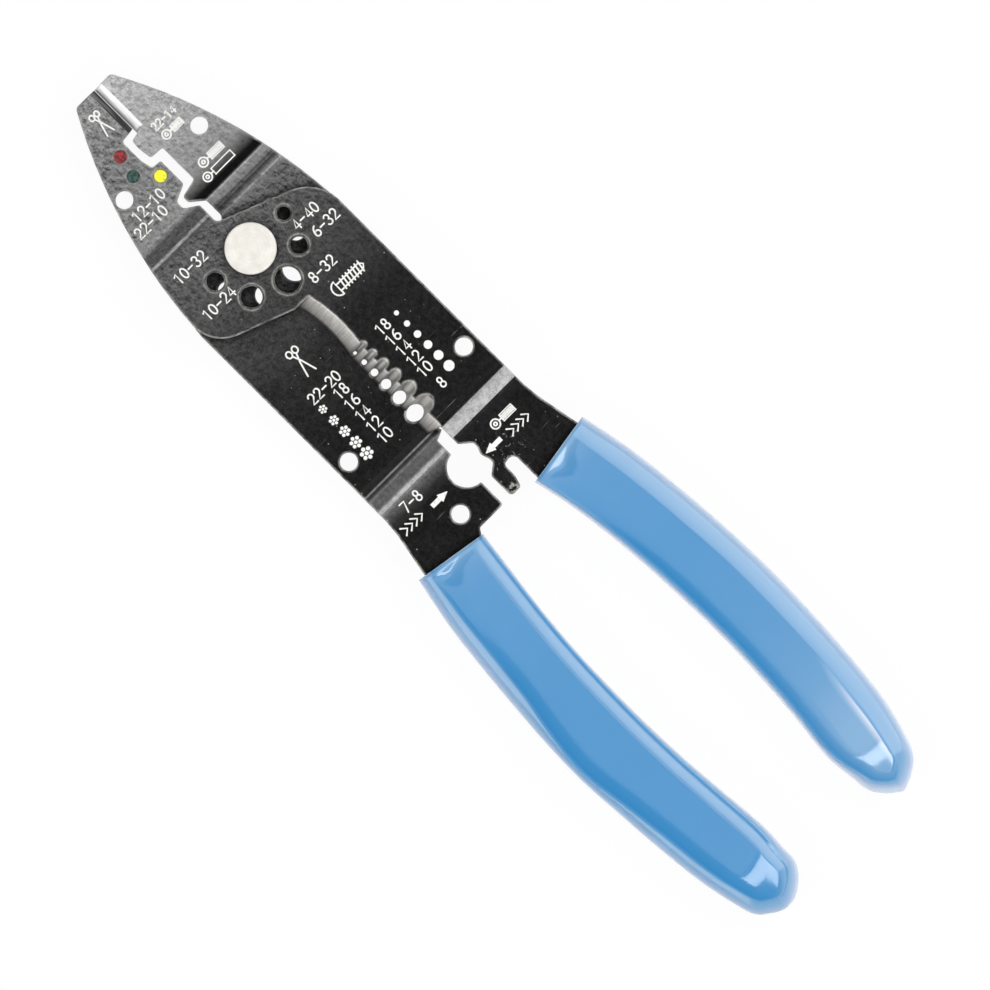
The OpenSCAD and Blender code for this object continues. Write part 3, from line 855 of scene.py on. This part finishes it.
# %% [markdown]
# Seen from above, a grip is a lattice of points: ribs that run across from the outer edge to
# the inner edge. On each rib the points gather on the rims and shoulders. A point's height
# follows from its distance to the outline, so the rim runs on evenly round the tail.

# %% Ribs across a grip
rim_steps = 8
shelf_shares = (0, 0.25, 0.75, 1)
shoulder_shares = (0.15, 0.3, 0.45, 0.6, 0.72, 0.82, 0.9, 0.96, 1.02, 1.08, 1.16)
crown_steps = 8
least_shelf = 0.1 * mm
least_width = 0.001 * mm
flank_share = 0.46

# Close together at the mouth, even along the grip, and closer and closer round the tail
rib_stations = [0, 0.02, 0.04, 0.06, 0.08, 0.11, 0.14, 0.18, 0.22, 0.27, 0.32, 0.38, 0.45]
rib_stations += [0.55 + 0.11 * k for k in range(83)]
rib_stations += [9.65 + 0.05 * k for k in range(48)]
rib_stations += [12.03 + 0.97 * math.sin(math.pi * k / 32) for k in range(17)]


def flank_places(flank, width):
    """Distances from the outline of a rib's points on one flank."""
    rim, shelf, climb = flank[:3]
    shelf_end = rim + max(shelf, least_shelf)
    turns = [1 - math.cos(rim_slope * k / rim_steps) for k in range(rim_steps)]
    places = [rim * turn / (1 - math.cos(rim_slope)) for turn in turns]
    places += [rim + (shelf_end - rim) * share for share in shelf_shares]
    places += [shelf_end + climb * share for share in shoulder_shares]
    squeeze = min(1.0, flank_share * width / places[-1])
    return [place * squeeze for place in places]


def rib_shares(outer_flank, inner_flank, width):
    """Places of a rib's points as shares of its width, from the outer edge to the inner edge."""
    width = max(width, least_width)
    outer = [place / width for place in flank_places(outer_flank, width)]
    inner = [1 - place / width for place in reversed(flank_places(inner_flank, width))]
    gap = inner[0] - outer[-1]
    crown = [outer[-1] + gap * k / crown_steps for k in range(1, crown_steps)]
    return outer + crown + inner


across_count = 2 * (rim_steps + len(shelf_shares) + len(shoulder_shares)) + crown_steps - 1
print("ribs:", len(rib_stations), "points on a rib:", across_count)

# %% Fall of the tail and dip behind the mouth
tail_fall_from = 0.865
tail_fall = 0.45
tail_round = 0.45 * mm
mouth_slope = 0.25
mouth_lip = 0.5 * mm
lip_reach = 0.4 * mm
dip_across = 0.75
dip_centre = 1.2 * mm
# Near the middle of the grip the dip lies farther from the mouth
bulge_depth = 1.7 * mm
bulge_shift = 0.14
bulge_w = 0.16
dip_w_share, dip_w_least = 0.55, 0.3 * mm


def hump(offset, width):
    """1 at no offset, and less and less away from it."""
    return math.exp(-((offset / width) ** 2))


def fall_and_dip(height, length_share, mouth_distance, across_share, side):
    """Lowers a height where the tail falls away, and in the dip and lip of the mouth."""
    off_middle = 2 * across_share - 1
    fall = max(0.0, (length_share - tail_fall_from) / (1 - tail_fall_from))
    height *= 1 - tail_fall * fall ** 2
    height -= tail_round * min(1, 2 * fall) * off_middle ** 2 * height / half_height
    middle = math.sqrt(max(0.0, 1 - (off_middle / dip_across) ** 2))
    centre = dip_centre + bulge_depth * hump(across_share - 0.5 + bulge_shift * side, bulge_w)
    width = dip_w_share * centre + dip_w_least
    dip = mouth_slope * width * middle * hump(mouth_distance - centre, width)
    return height - (dip + mouth_lip * hump(mouth_distance, lip_reach)) * height / half_height


end_height = fall_and_dip(half_height, 1, 0.1, 0.5, 1)
print(f"at the tail's end the skin is {2 * end_height / mm:.1f} mm thick")

# %% [markdown]
# The distance to the outline is the shortest distance to any piece of it. The mouth isn't part
# of the outline, because the skin ends there in a lip and doesn't roll over. The sleeve's inner
# wall follows the tang, and has as many points on a ring as the outside, so quads join the two.

# %% Rings of the outer skin
# Painted sheen on the crown behind the mouth, and a painted highlight along its lip
mouth_sheen, mouth_sheen_reach = 0.34, 4 * mm
lip_highlight = 0.8
# From the outer flank's shape to the inner flank's, as shares of a rib
blend_from, blend_w = 0.3, 0.4


def clamped(value):
    return max(0.0, min(1.0, value))


def distance_to(outline, point):
    best = math.inf
    for a, b in zip(outline, outline[1:]):
        run = b - a
        t = clamped((point - a).dot(run) / max(run.length_squared, least_width ** 2))
        best = min(best, (point - a - run * t).length)
    return best


def closed_ring(top):
    """A ring of 3-D points from the flat points and heights of its upper half."""
    upper = [Vector((p.x, p.y, mid_z + h)) for p, h in top]
    lower = [Vector((p.x, p.y, mid_z - h)) for p, h in reversed(top[1:-1])]
    return upper + lower


def grip_rings(shares, side, flanks, sheens):
    """Rings of the outer skin, and the paleness and painted shade of every point."""
    edges = [grip_edges(shares, t, side) for t in rib_stations]
    outline = [outer for outer, _ in edges] + [inner for _, inner in reversed(edges)]
    (outer_rows, outer_kind), (inner_rows, inner_kind) = flanks
    rings, shades = [], []
    for t, (outer, inner) in zip(rib_stations, edges):
        length_share = through(shares, t)[0]
        row = min(length_share, 1) * (len(outer_rows) - 1)
        outer_flank, inner_flank = through(outer_rows, row) * mm, through(inner_rows, row) * mm
        mouth_distance = length_share * abs(grip_length)
        sheen = through(sheens, row)[0] + mouth_sheen * hump(mouth_distance, mouth_sheen_reach)
        sheen = max(sheen, lip_highlight * hump(mouth_distance, lip_reach))
        top, tints = [], []
        for s in rib_shares(outer_flank, inner_flank, (outer - inner).length):
            flat = outer.lerp(inner, s)
            gap = 0.0 if s in (0, 1) else distance_to(outline, flat)
            outer_skin = flank_at(gap, *outer_flank, **outer_kind)
            inner_skin = flank_at(gap, *inner_flank, **inner_kind)
            height, pale, deep_shade = outer_skin.lerp(inner_skin, clamped((s - blend_from) / blend_w))
            top.append((flat, fall_and_dip(height, length_share, mouth_distance, s, side)))
            tints.append((max(pale, sheen * (1 - math.sqrt(max(0.0, deep_shade)))), deep_shade))
        rings.append(closed_ring(top))
        shades.append(tints + tints[-2:0:-1])
    return rings, shades


print("rings of", 2 * across_count - 2, "points")

# %% Rings of the inner wall
tang_wall = 1.53 * mm
mouth_wall_share = 0.58
tang_half = plate_t / 2 + 0.02 * mm
tang_end = 10.0
corner_steps = 3
# The wall has no ring at this station
skipped = rib_stations[1]


def sleeve_rings(side):
    """Rings of the inner wall round the tang, from the mouth to the tang's end."""
    rings = []
    last = across_count - 1
    for t in [s for s in rib_stations if s < tang_end and s != skipped]:
        outer, inner = grip_edges(tang_shares, t, side)
        unit = (inner - outer).normalized()
        a = outer + unit * tang_wall
        b = inner - unit * tang_wall * (mouth_wall_share + (1 - mouth_wall_share) * min(t, 1))
        top = []
        for k in range(across_count):
            up = tang_half * min(1.0, k / corner_steps, (last - k) / corner_steps)
            top.append((a.lerp(b, clamped((k - corner_steps) / (last - 2 * corner_steps))), up))
        rings.append(closed_ring(top))
    return rings


print(f"the wall leaves a slot {2 * tang_half / mm:.2f} mm high for the tang")

# %% Building a grip
join_reach = 0.002 * mm


def build_grip(name, body, shares, side, flanks, sheens, material):
    outside, shades = grip_rings(shares, side, flanks, sheens)
    inside = sleeve_rings(side)
    rings = inside[::-1] + outside
    shades = [[(1.0, 0.0)] * len(outside[0])] * len(inside) + shades
    shape = bmesh.new()
    pale_layer = shape.verts.layers.float.new("paleness")
    shade_layer = shape.verts.layers.float.new("depth")
    verts = []
    for ring, tints in zip(rings, shades):
        made = [shape.verts.new(point) for point in ring]
        for vert, (pale, deep_shade) in zip(made, tints):
            vert[pale_layer] = pale
            vert[shade_layer] = deep_shade
        verts.append(made)
    n = len(verts[0])
    for low, high in zip(verts, verts[1:]):
        for k in range(n):
            shape.faces.new((low[k], low[(k + 1) % n], high[(k + 1) % n], high[k]))
    shape.faces.new(verts[0])
    bmesh.ops.remove_doubles(shape, verts=shape.verts, dist=join_reach)
    bmesh.ops.recalc_face_normals(shape, faces=shape.faces)
    mesh = bpy.data.meshes.new(name)
    shape.to_mesh(mesh)
    shape.free()
    mesh.shade_smooth()
    mesh.materials.append(material)
    grip = in_scene(name, mesh)
    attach(grip, body)
    return grip


print("points closer than", join_reach / mm, "mm are joined")

# %% [markdown]
# Vinyl this thick is a little translucent: light gets into the thin rims and comes out pale,
# and part of their paleness is painted bounce light from the floor. The thick body is a clear
# blue. A deeper blue beside some rims and in the creases is painted shade, and the bright bands,
# the lip and parts of the crown carry a painted sheen. The lattice stored paleness and shade as
# attributes of its points, so two mixes of colours follow the shape from every side.

# %% Blue vinyl
crown_blues = ((0.022, 0.228, 0.505, 1.0), (0.038, 0.246, 0.53, 1.0))
shaded_blue = (0.002, 0.19, 0.475, 1.0)
thin_and_lit_blues = [
    (crown_pale, (0.09, 0.285, 0.535, 1.0)), (0.45, (0.16, 0.35, 0.58, 1.0)),
    (0.60, (0.21, 0.39, 0.61, 1.0)), (0.80, (0.37, 0.49, 0.67, 1.0)),
    (1.00, (0.62, 0.69, 0.82, 1.0)),
]
drift_noise = (90.0, 2.0)
drift_span = (0.3, 0.7)
drift_share = 0.3
lint = {"scale": 150.0, "size": (0.018, 0.03), "chance": (0.80, 0.82), "level": 0.5}
lint_colour = (0.6, 0.72, 0.88, 1.0)
ripple_noise = (320.0, 2.0)
ripple_strength, ripple_depth = 0.05, 0.25 * mm


def dipped_vinyl():
    material, tree, shader = new_material("blue_vinyl")
    where = coordinates(tree)["Object"]
    pale, deep_shade = (
        add(tree, "ShaderNodeAttribute", attribute_name=name).outputs["Fac"]
        for name in ("paleness", "depth")
    )
    drift = mapped(tree, noise(tree, where, *drift_noise), *drift_span, 0.0, drift_share)
    # Painted shade: the shaded blue where the shade attribute is high
    body = mixed(tree, deep_shade, mixed(tree, drift, *crown_blues), shaded_blue)
    skin = mixed(tree, mapped(tree, pale, 0.0, crown_pale), body, ramp(tree, pale, thin_and_lit_blues))
    speck, _ = specks(tree, where, **lint)
    fill(tree, shader, {
        "Base Color": mixed(tree, speck, skin, lint_colour), "Roughness": 0.09,
        "Specular IOR Level": 0.42, "Subsurface Weight": 0.1,
        "Subsurface Radius": (0.6, 1.0, 1.6), "Subsurface Scale": 0.8 * mm,
    })
    ripple = noise(tree, where, *ripple_noise)
    give_relief(tree, shader, ripple, ripple_strength, ripple_depth)
    return material


vinyl = dipped_vinyl()
print("vinyl's blues:", len(thin_and_lit_blues), "from its crown to its rim")

# %% Both grips
# Painted sheen, as extra paleness, for every tenth of the length
back_sheens = [(sheen, 0) for sheen in (0.12, 0.10, 0.06, 0.03, 0.01, 0, 0, 0, 0.02, 0.05, 0.05)]
front_sheens = [
    (sheen, 0) for sheen in (0.12, 0.10, 0.06, 0.03, 0.05, 0.09, 0.14, 0.26, 0.42, 0.48, 0.44)
]
back_flanks = ((back_outer, gentle), (back_inner, even))
front_flanks = ((front_outer, even), (front_inner, thin))
back_grip = build_grip(
    "back_grip_skin", "back_half", back_shares, 1, back_flanks, back_sheens, vinyl,
)
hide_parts("back_grip")
front_grip = build_grip(
    "front_grip_skin", "front_half", front_shares, -1, front_flanks, front_sheens, vinyl,
)
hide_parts("front_grip")
for grip in (back_grip, front_grip):
    print(grip.name, len(grip.data.vertices), "points")

# %% [markdown]
# The numbers on a tool are pad printed: ink strokes of one width with round ends. So a digit is
# a few pen strokes, not a filled letter shape. Each stroke is a list of points in a box one
# unit high. A geometry-nodes tree then lays a flat bead of ink along all of them at once.

# %% Pen strokes of the digits
arc_step = 20


def arc(cx, cy, rx, ry, start, end):
    """Points on part of an ellipse, angles in degrees."""
    steps = max(4, int(abs(end - start) / arc_step))
    turns = [math.radians(start + (end - start) * k / steps) for k in range(steps + 1)]
    return [(cx + rx * math.cos(a), cy + ry * math.sin(a)) for a in turns]


digit_w = 0.60
digit_step = 0.69
pen_digits = {
    "0": [arc(0.30, 0.50, 0.24, 0.46, 0, 360)],
    "1": [[(0.12, 0.80), (0.34, 0.96), (0.34, 0.04)]],
    "2": [arc(0.30, 0.70, 0.23, 0.26, 165, -40) + [(0.06, 0.04), (0.55, 0.04)]],
    "3": [arc(0.29, 0.73, 0.21, 0.23, 155, -80) + arc(0.29, 0.28, 0.24, 0.24, 80, -155)],
    "4": [[(0.42, 0.04), (0.42, 0.96), (0.05, 0.30), (0.57, 0.30)]],
    "6": [arc(0.54, 0.30, 0.48, 0.66, 102, 180) + arc(0.30, 0.29, 0.24, 0.25, 180, 540)],
    "7": [[(0.06, 0.96), (0.55, 0.96), (0.22, 0.04)]],
    "8": [arc(0.30, 0.73, 0.19, 0.23, 0, 360), arc(0.30, 0.27, 0.23, 0.23, 0, 360)],
    "-": [[(0.08, 0.50), (0.52, 0.50)]],
}


def number(label):
    """Strokes of a row of digits."""
    strokes = [(k, stroke) for k, sign in enumerate(label) for stroke in pen_digits[sign]]
    return [[(x + digit_step * k, y) for x, y in stroke] for k, stroke in strokes]


print("digits:", " ".join(pen_digits))
print("a five-sign number is", round(digit_step * 4 + digit_w, 2), "units long")

# %% [markdown]
# The words on such a tool aren't drawn here. Small generic signs stand in their places, drawn
# with the same pen: scissors for a cutter, a screw for the screw cutters, a ring terminal for
# the crimp nests, and chevrons that point at the round nest.

# %% Pen strokes of the signs
def scissors():
    handles = [arc(0.30, y, 0.24, 0.20, 0, 360) for y in (0.24, 0.76)]
    blade = [(0.52, 0.33), (1.05, 0.55), (2.15, 0.86)]
    return handles + [blade, [(x, 1 - y) for x, y in blade]]


def screw():
    head = [arc(0.55, 0.5, 0.42, 0.46, 90, 270) + [(0.55, 0.04), (0.55, 0.96)]]
    shank = [[(0.55, 0.72), (2.35, 0.72), (2.55, 0.5), (2.35, 0.28), (0.55, 0.28)]]
    threads = [[(0.85 + 0.24 * k, 0.16), (0.95 + 0.24 * k, 0.84)] for k in range(7)]
    return head + shank + threads


def ring_terminal(barrel, covered):
    """A ring and a barrel; covered draws the barrel's sleeve as close lines."""
    ring = [arc(0.5, 0.5, radius, radius, 0, 360) for radius in (0.46, 0.16)]
    start, end, low, high = 1.3, 1.3 + barrel, 0.14, 0.86
    neck = [[(0.96, 0.5), (start, 0.5)]]
    body = [[(start, low), (start, high), (end, high), (end, low), (start, low)]]
    levels = [low + 0.18 * k for k in range(1, 4)] if covered else []
    return ring + neck + body + [[(start, level), (end, level)] for level in levels]


def chevrons(count):
    chevron = [(0.1, 0.08), (0.6, 0.5), (0.1, 0.92)]
    return [[(x + 0.62 * k, y) for x, y in chevron] for k in range(count)]


print("strokes: scissors", len(scissors()), "screw", len(screw()), "chevrons", len(chevrons(4)))

# %% [markdown]
# The pen's box goes onto the lever with an origin, a reading direction and an up direction.
# Most marks read towards -Y with their tops towards the nose, and a few read towards the tail.

# %% Marks on the levers
toward_front = (Vector((0, -1)), Vector((1, 0)))
toward_tail = (Vector((-1, 0)), Vector((0, -1)))
digit_h = 2.35
gauges = ["18", "16", "14", "12", "10"]
strand_pitch, solid_pitch = 3.05, 2.92


def placed(strokes, x, y, height, directions, z):
    """Strokes in metres. x and y, in mm, are where the box's lower left corner goes."""
    read, up = directions
    corner = Vector((x, y)) * mm
    size = height * mm
    laid = []
    for stroke in strokes:
        flat = [corner + (read * u + up * v) * size for u, v in stroke]
        laid.append([(p.x, p.y, z) for p in flat])
    return laid


def digits(label, x, y, z):
    return placed(number(label), x, y, digit_h, toward_front, z)


def sign(strokes, x, y, height, directions=toward_front):
    return placed(strokes, x, y, height, directions, level_top)


back_marks = [
    *(digits(label, -33.45 - strand_pitch * k, 8.75, back_top) for k, label in enumerate(gauges)),
    digits("22-20", -30.6, 13.05, back_top),
    sign(number("22-14"), 29.4, -3.05, 1.75),
    sign(number("7-8"), -58.6, 15.2, 2.4),
    placed(scissors(), -19.2, 10.2, 3.0, toward_tail, back_top),
    sign(ring_terminal(2.6, False), 14.95, -3.0, 2.0),
    sign(ring_terminal(1.6, True), 17.55, -4.4, 2.1),
    sign(ring_terminal(1.3, True), 26.6, -3.2, 1.95),
    sign(chevrons(4), -61.7, 18.4, 2.2),
]
threads = [
    ("8-32", -13.9, -4.0), ("6-32", -7.9, -10.85), ("4-40", -4.2, -9.0), ("10-24", -4.4, 15.95),
    ("10-32", 4.6, 14.95),
]
front_marks = [
    *(digits(label, -30.35 - solid_pitch * k, -5.95, front_top) for k, label in enumerate(gauges)),
    digits("8", -46.2, -7.25, front_top),
    *(digits(label, x, y, front_top) for label, x, y in threads),
    digits("22-10", 16.4, 14.15, level_top),
    digits("12-10", 19.1, 12.15, level_top),
    sign(scissors(), 40.9, 4.6, 2.5, toward_tail),
    placed(screw(), -19.4, -4.9, 3.4, toward_front, front_top),
    sign(chevrons(4), -62.6, -10.2, 2.2),
    sign(ring_terminal(1.5, True), -59.4, -8.6, 2.1),
]
back_strokes = [stroke for mark in back_marks for stroke in mark]
front_strokes = [stroke for mark in front_marks for stroke in mark]
print(len(front_strokes), "strokes on the front lever,", len(back_strokes), "on the back lever")

# %% [markdown]
# The tree sweeps a flat oval along every stroke and puts a flat bead on each stroke's two ends,
# which makes them round. Its sizes are inputs, so the same tree serves both levers.

# %% Tree that lays ink along strokes
stroke_w = 0.34 * mm
ink_height = 0.03 * mm
ring_sides, cap_sides, ball_rings = 10, 12, 6


def new_ink_tree(name, source, *sizes):
    """A tree from a geometry and named sizes to ink, and the sockets that give its inputs."""
    tree = bpy.data.node_groups.new(name, "GeometryNodeTree")
    tree.interface.new_socket(source, in_out="INPUT", socket_type="NodeSocketGeometry")
    for size in sizes:
        tree.interface.new_socket(size, in_out="INPUT", socket_type="NodeSocketFloat")
    tree.interface.new_socket("Ink", in_out="OUTPUT", socket_type="NodeSocketGeometry")
    return tree, add(tree, "NodeGroupInput").outputs


def end_in_ink(tree, geometry, material):
    real = add(tree, "GeometryNodeRealizeInstances", geometry)
    inked = add(tree, "GeometryNodeSetMaterial", real.outputs[0], None, material)
    add(tree, "NodeGroupOutput", inked.outputs[0])


def stroke_tree(material):
    tree, given = new_ink_tree("ink_strokes", "Strokes", "Stroke Width", "Ink Height")
    radius = product(tree, given["Stroke Width"], 0.5)
    flatness = maths(tree, "DIVIDE", given["Ink Height"], radius)

    circle = add(tree, "GeometryNodeCurvePrimitiveCircle")
    fill(tree, circle, {"Resolution": ring_sides, "Radius": radius})
    oval = add(tree, "GeometryNodeTransform", circle.outputs["Curve"])
    flat = add(tree, "ShaderNodeCombineXYZ", 1.0, flatness, 1.0).outputs[0]
    fill(tree, oval, {"Scale": flat})
    level = add(tree, "GeometryNodeSetCurveNormal", given["Strokes"], mode="Z_UP").outputs[0]
    bead = add(tree, "GeometryNodeCurveToMesh", level, oval.outputs[0])
    fill(tree, bead, {"Fill Caps": True})

    ball = add(tree, "GeometryNodeMeshUVSphere", cap_sides, ball_rings, radius).outputs["Mesh"]
    ends = add(tree, "GeometryNodeCurveEndpointSelection").outputs[0]
    caps = add(tree, "GeometryNodeInstanceOnPoints", level, ends, ball)
    squash = add(tree, "ShaderNodeCombineXYZ", 1.0, 1.0, flatness).outputs[0]
    fill(tree, caps, {"Scale": squash})
    both = tree.nodes.new("GeometryNodeJoinGeometry")
    tree.links.new(bead.outputs[0], both.inputs[0])
    tree.links.new(caps.outputs[0], both.inputs[0])
    end_in_ink(tree, both.outputs[0], material)
    return tree


print(f"ink strokes are {stroke_w / mm:.2f} mm wide and stand {ink_height / mm:.2f} mm proud")

# %% Ink along the strokes
wear_noise = (1900.0, 3.0, 0.65)
closing_gap = 0.01 * mm
ink_colours = [(0.30, (0.42, 0.41, 0.39, 1.0)), (0.42, (0.86, 0.85, 0.82, 1.0))]


def printed_ink():
    material, tree, shader = new_material("white_print")
    wear = noise(tree, coordinates(tree)["Object"], *wear_noise)
    fill(tree, shader, {"Base Color": ramp(tree, wear, ink_colours), "Roughness": 0.5})
    return material


def grown(name, data, tree, **sizes):
    """What a tree makes of curves or points, as a mesh of its own.

    A modifier's input is set by its identifier, which is looked up by the input's name.
    """
    source = in_scene(name, data)
    layer = source.modifiers.new("ink", "NODES")
    layer.node_group = tree
    for item in tree.interface.items_tree:
        key = item.name.lower().replace(" ", "_")
        if item.in_out == "INPUT" and key in sizes:
            layer[item.identifier] = sizes[key]
    evaluated = source.evaluated_get(bpy.context.evaluated_depsgraph_get())
    mesh = bpy.data.meshes.new_from_object(evaluated)
    mesh.name = name
    bpy.data.objects.remove(source)
    return mesh


def pen_curves(name, strokes):
    """Poly curves through the strokes, closed where a stroke ends where it starts."""
    pen = bpy.data.curves.new(name, "CURVE")
    pen.dimensions = "3D"
    for stroke in strokes:
        closed = math.dist(stroke[0], stroke[-1]) < closing_gap
        points = stroke[:-1] if closed else stroke
        spline = pen.splines.new("POLY")
        spline.points.add(len(points) - 1)
        for point, place in zip(spline.points, points):
            point.co = (*place, 1.0)
        spline.use_cyclic_u = closed
    return pen


ink = printed_ink()
strokes_of_ink = stroke_tree(ink)
sizes = {"stroke_width": stroke_w, "ink_height": ink_height}
front_ink, back_ink = (
    grown(name, pen_curves(name, strokes), strokes_of_ink, **sizes)
    for name, strokes in (("front_strokes", front_strokes), ("back_strokes", back_strokes))
)
print("ink faces:", len(front_ink.polygons), len(back_ink.polygons))

# %% [markdown]
# Solid shapes of ink, such as an arrow or a dot, have no stroke to follow. Beside the stripping
# holes a disc stands for a solid wire and a bundle of seven beads for a stranded one, and both
# grow with the wire. Beads are instances of one flat bead on points, and an arrow is a thin prism.

# %% Tree that puts beads of ink on points
bead_sides = 20


def bead_tree(material):
    tree, given = new_ink_tree("ink_beads", "Points", "Ink Height")
    size = add(tree, "GeometryNodeInputNamedAttribute", "bead_radius", data_type="FLOAT").outputs[0]
    ball = add(tree, "GeometryNodeMeshUVSphere", bead_sides, ball_rings, 1.0).outputs["Mesh"]
    beads = add(tree, "GeometryNodeInstanceOnPoints", given["Points"], None, ball)
    scale = add(tree, "ShaderNodeCombineXYZ", size, size, given["Ink Height"]).outputs[0]
    fill(tree, beads, {"Scale": scale})
    end_in_ink(tree, beads.outputs[0], material)
    return tree


def bead_points(name, beads):
    """beads are (x, y, z, radius) in metres."""
    points = bpy.data.meshes.new(name)
    points.from_pydata([bead[:3] for bead in beads], [], [])
    radius = points.attributes.new("bead_radius", "FLOAT", "POINT")
    radius.data.foreach_set("value", [bead[3] for bead in beads])
    return points


strand_fill = 0.86


def wire_bundle(x, y, radius):
    """Seven beads packed as the strands of a wire, on the back lever."""
    strand = radius / 3
    turns = [k * math.pi / 3 for k in range(6)]
    ring = [(2 * strand * math.cos(turn), 2 * strand * math.sin(turn)) for turn in turns]
    return [(x + dx, y + dy, back_top, strand * strand_fill) for dx, dy in [(0, 0)] + ring]


bundles = [
    bead for k in range(5)
    for bead in wire_bundle((-32.3 - strand_pitch * k) * mm, 12.3 * mm, (0.95 + 0.13 * k) * mm)
]
discs = [
    ((-29.2 - solid_pitch * k) * mm, -11.3 * mm, front_top, (0.5 + 0.12 * k) * mm) for k in range(6)
]
beads_of_ink = bead_tree(ink)
bundle_ink, disc_ink = (
    grown(name, bead_points(name, beads), beads_of_ink, ink_height=ink_height)
    for name, beads in (("wire_bundles", bundles), ("wire_discs", discs))
)
print("beads:", len(bundles), "discs:", len(discs))

# %% Arrows and the finished prints
arrow_head, arrow_length = 2.1, 4.3
half_head, half_shaft = 0.95, 0.5


def arrow_outline(tip_x, tip_y, way):
    """Outline in mm of an arrow along Y. way is 1 or -1, the side of the tip the shaft is on."""
    neck, end = way * arrow_head, way * arrow_length
    points = [(0, 0), (half_head, neck), (half_shaft, neck), (half_shaft, end), (-half_shaft, end)]
    points += [(-half_shaft, neck), (-half_head, neck)]
    return [(tip_x + x, tip_y + y) for x, y in points]


def add_prism(shape, outline, z):
    """Adds a flat piece of ink, half sunk into the face it lies on."""
    low = [shape.verts.new((x * mm, y * mm, z - ink_height)) for x, y in outline]
    high = [shape.verts.new((x * mm, y * mm, z + ink_height)) for x, y in outline]
    sides = [(low[k - 1], low[k], high[k], high[k - 1]) for k in range(len(outline))]
    return [shape.faces.new(corners) for corners in [high, low[::-1], *sides]]


def finished_print(name, body, meshes, outline, z):
    shape = bmesh.new()
    for mesh in meshes:
        shape.from_mesh(mesh)
        bpy.data.meshes.remove(mesh)
    arrow = add_prism(shape, outline, z)
    bmesh.ops.recalc_face_normals(shape, faces=arrow)
    whole = bpy.data.meshes.new(name)
    shape.to_mesh(whole)
    shape.free()
    whole.materials.clear()
    whole.materials.append(ink)
    piece = in_scene(name, whole)
    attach(piece, body)
    return piece


front_arrow = arrow_outline(-61.1, -4.15, -1)
back_arrow = arrow_outline(-61.0, 6.35, 1)
front_print = finished_print(
    "front_print", "front_half", [front_ink, disc_ink], front_arrow, level_top,
)
back_print = finished_print(
    "back_print", "back_half", [back_ink, bundle_ink], back_arrow, level_top,
)
print("print faces:", len(front_print.data.polygons), len(back_print.data.polygons))
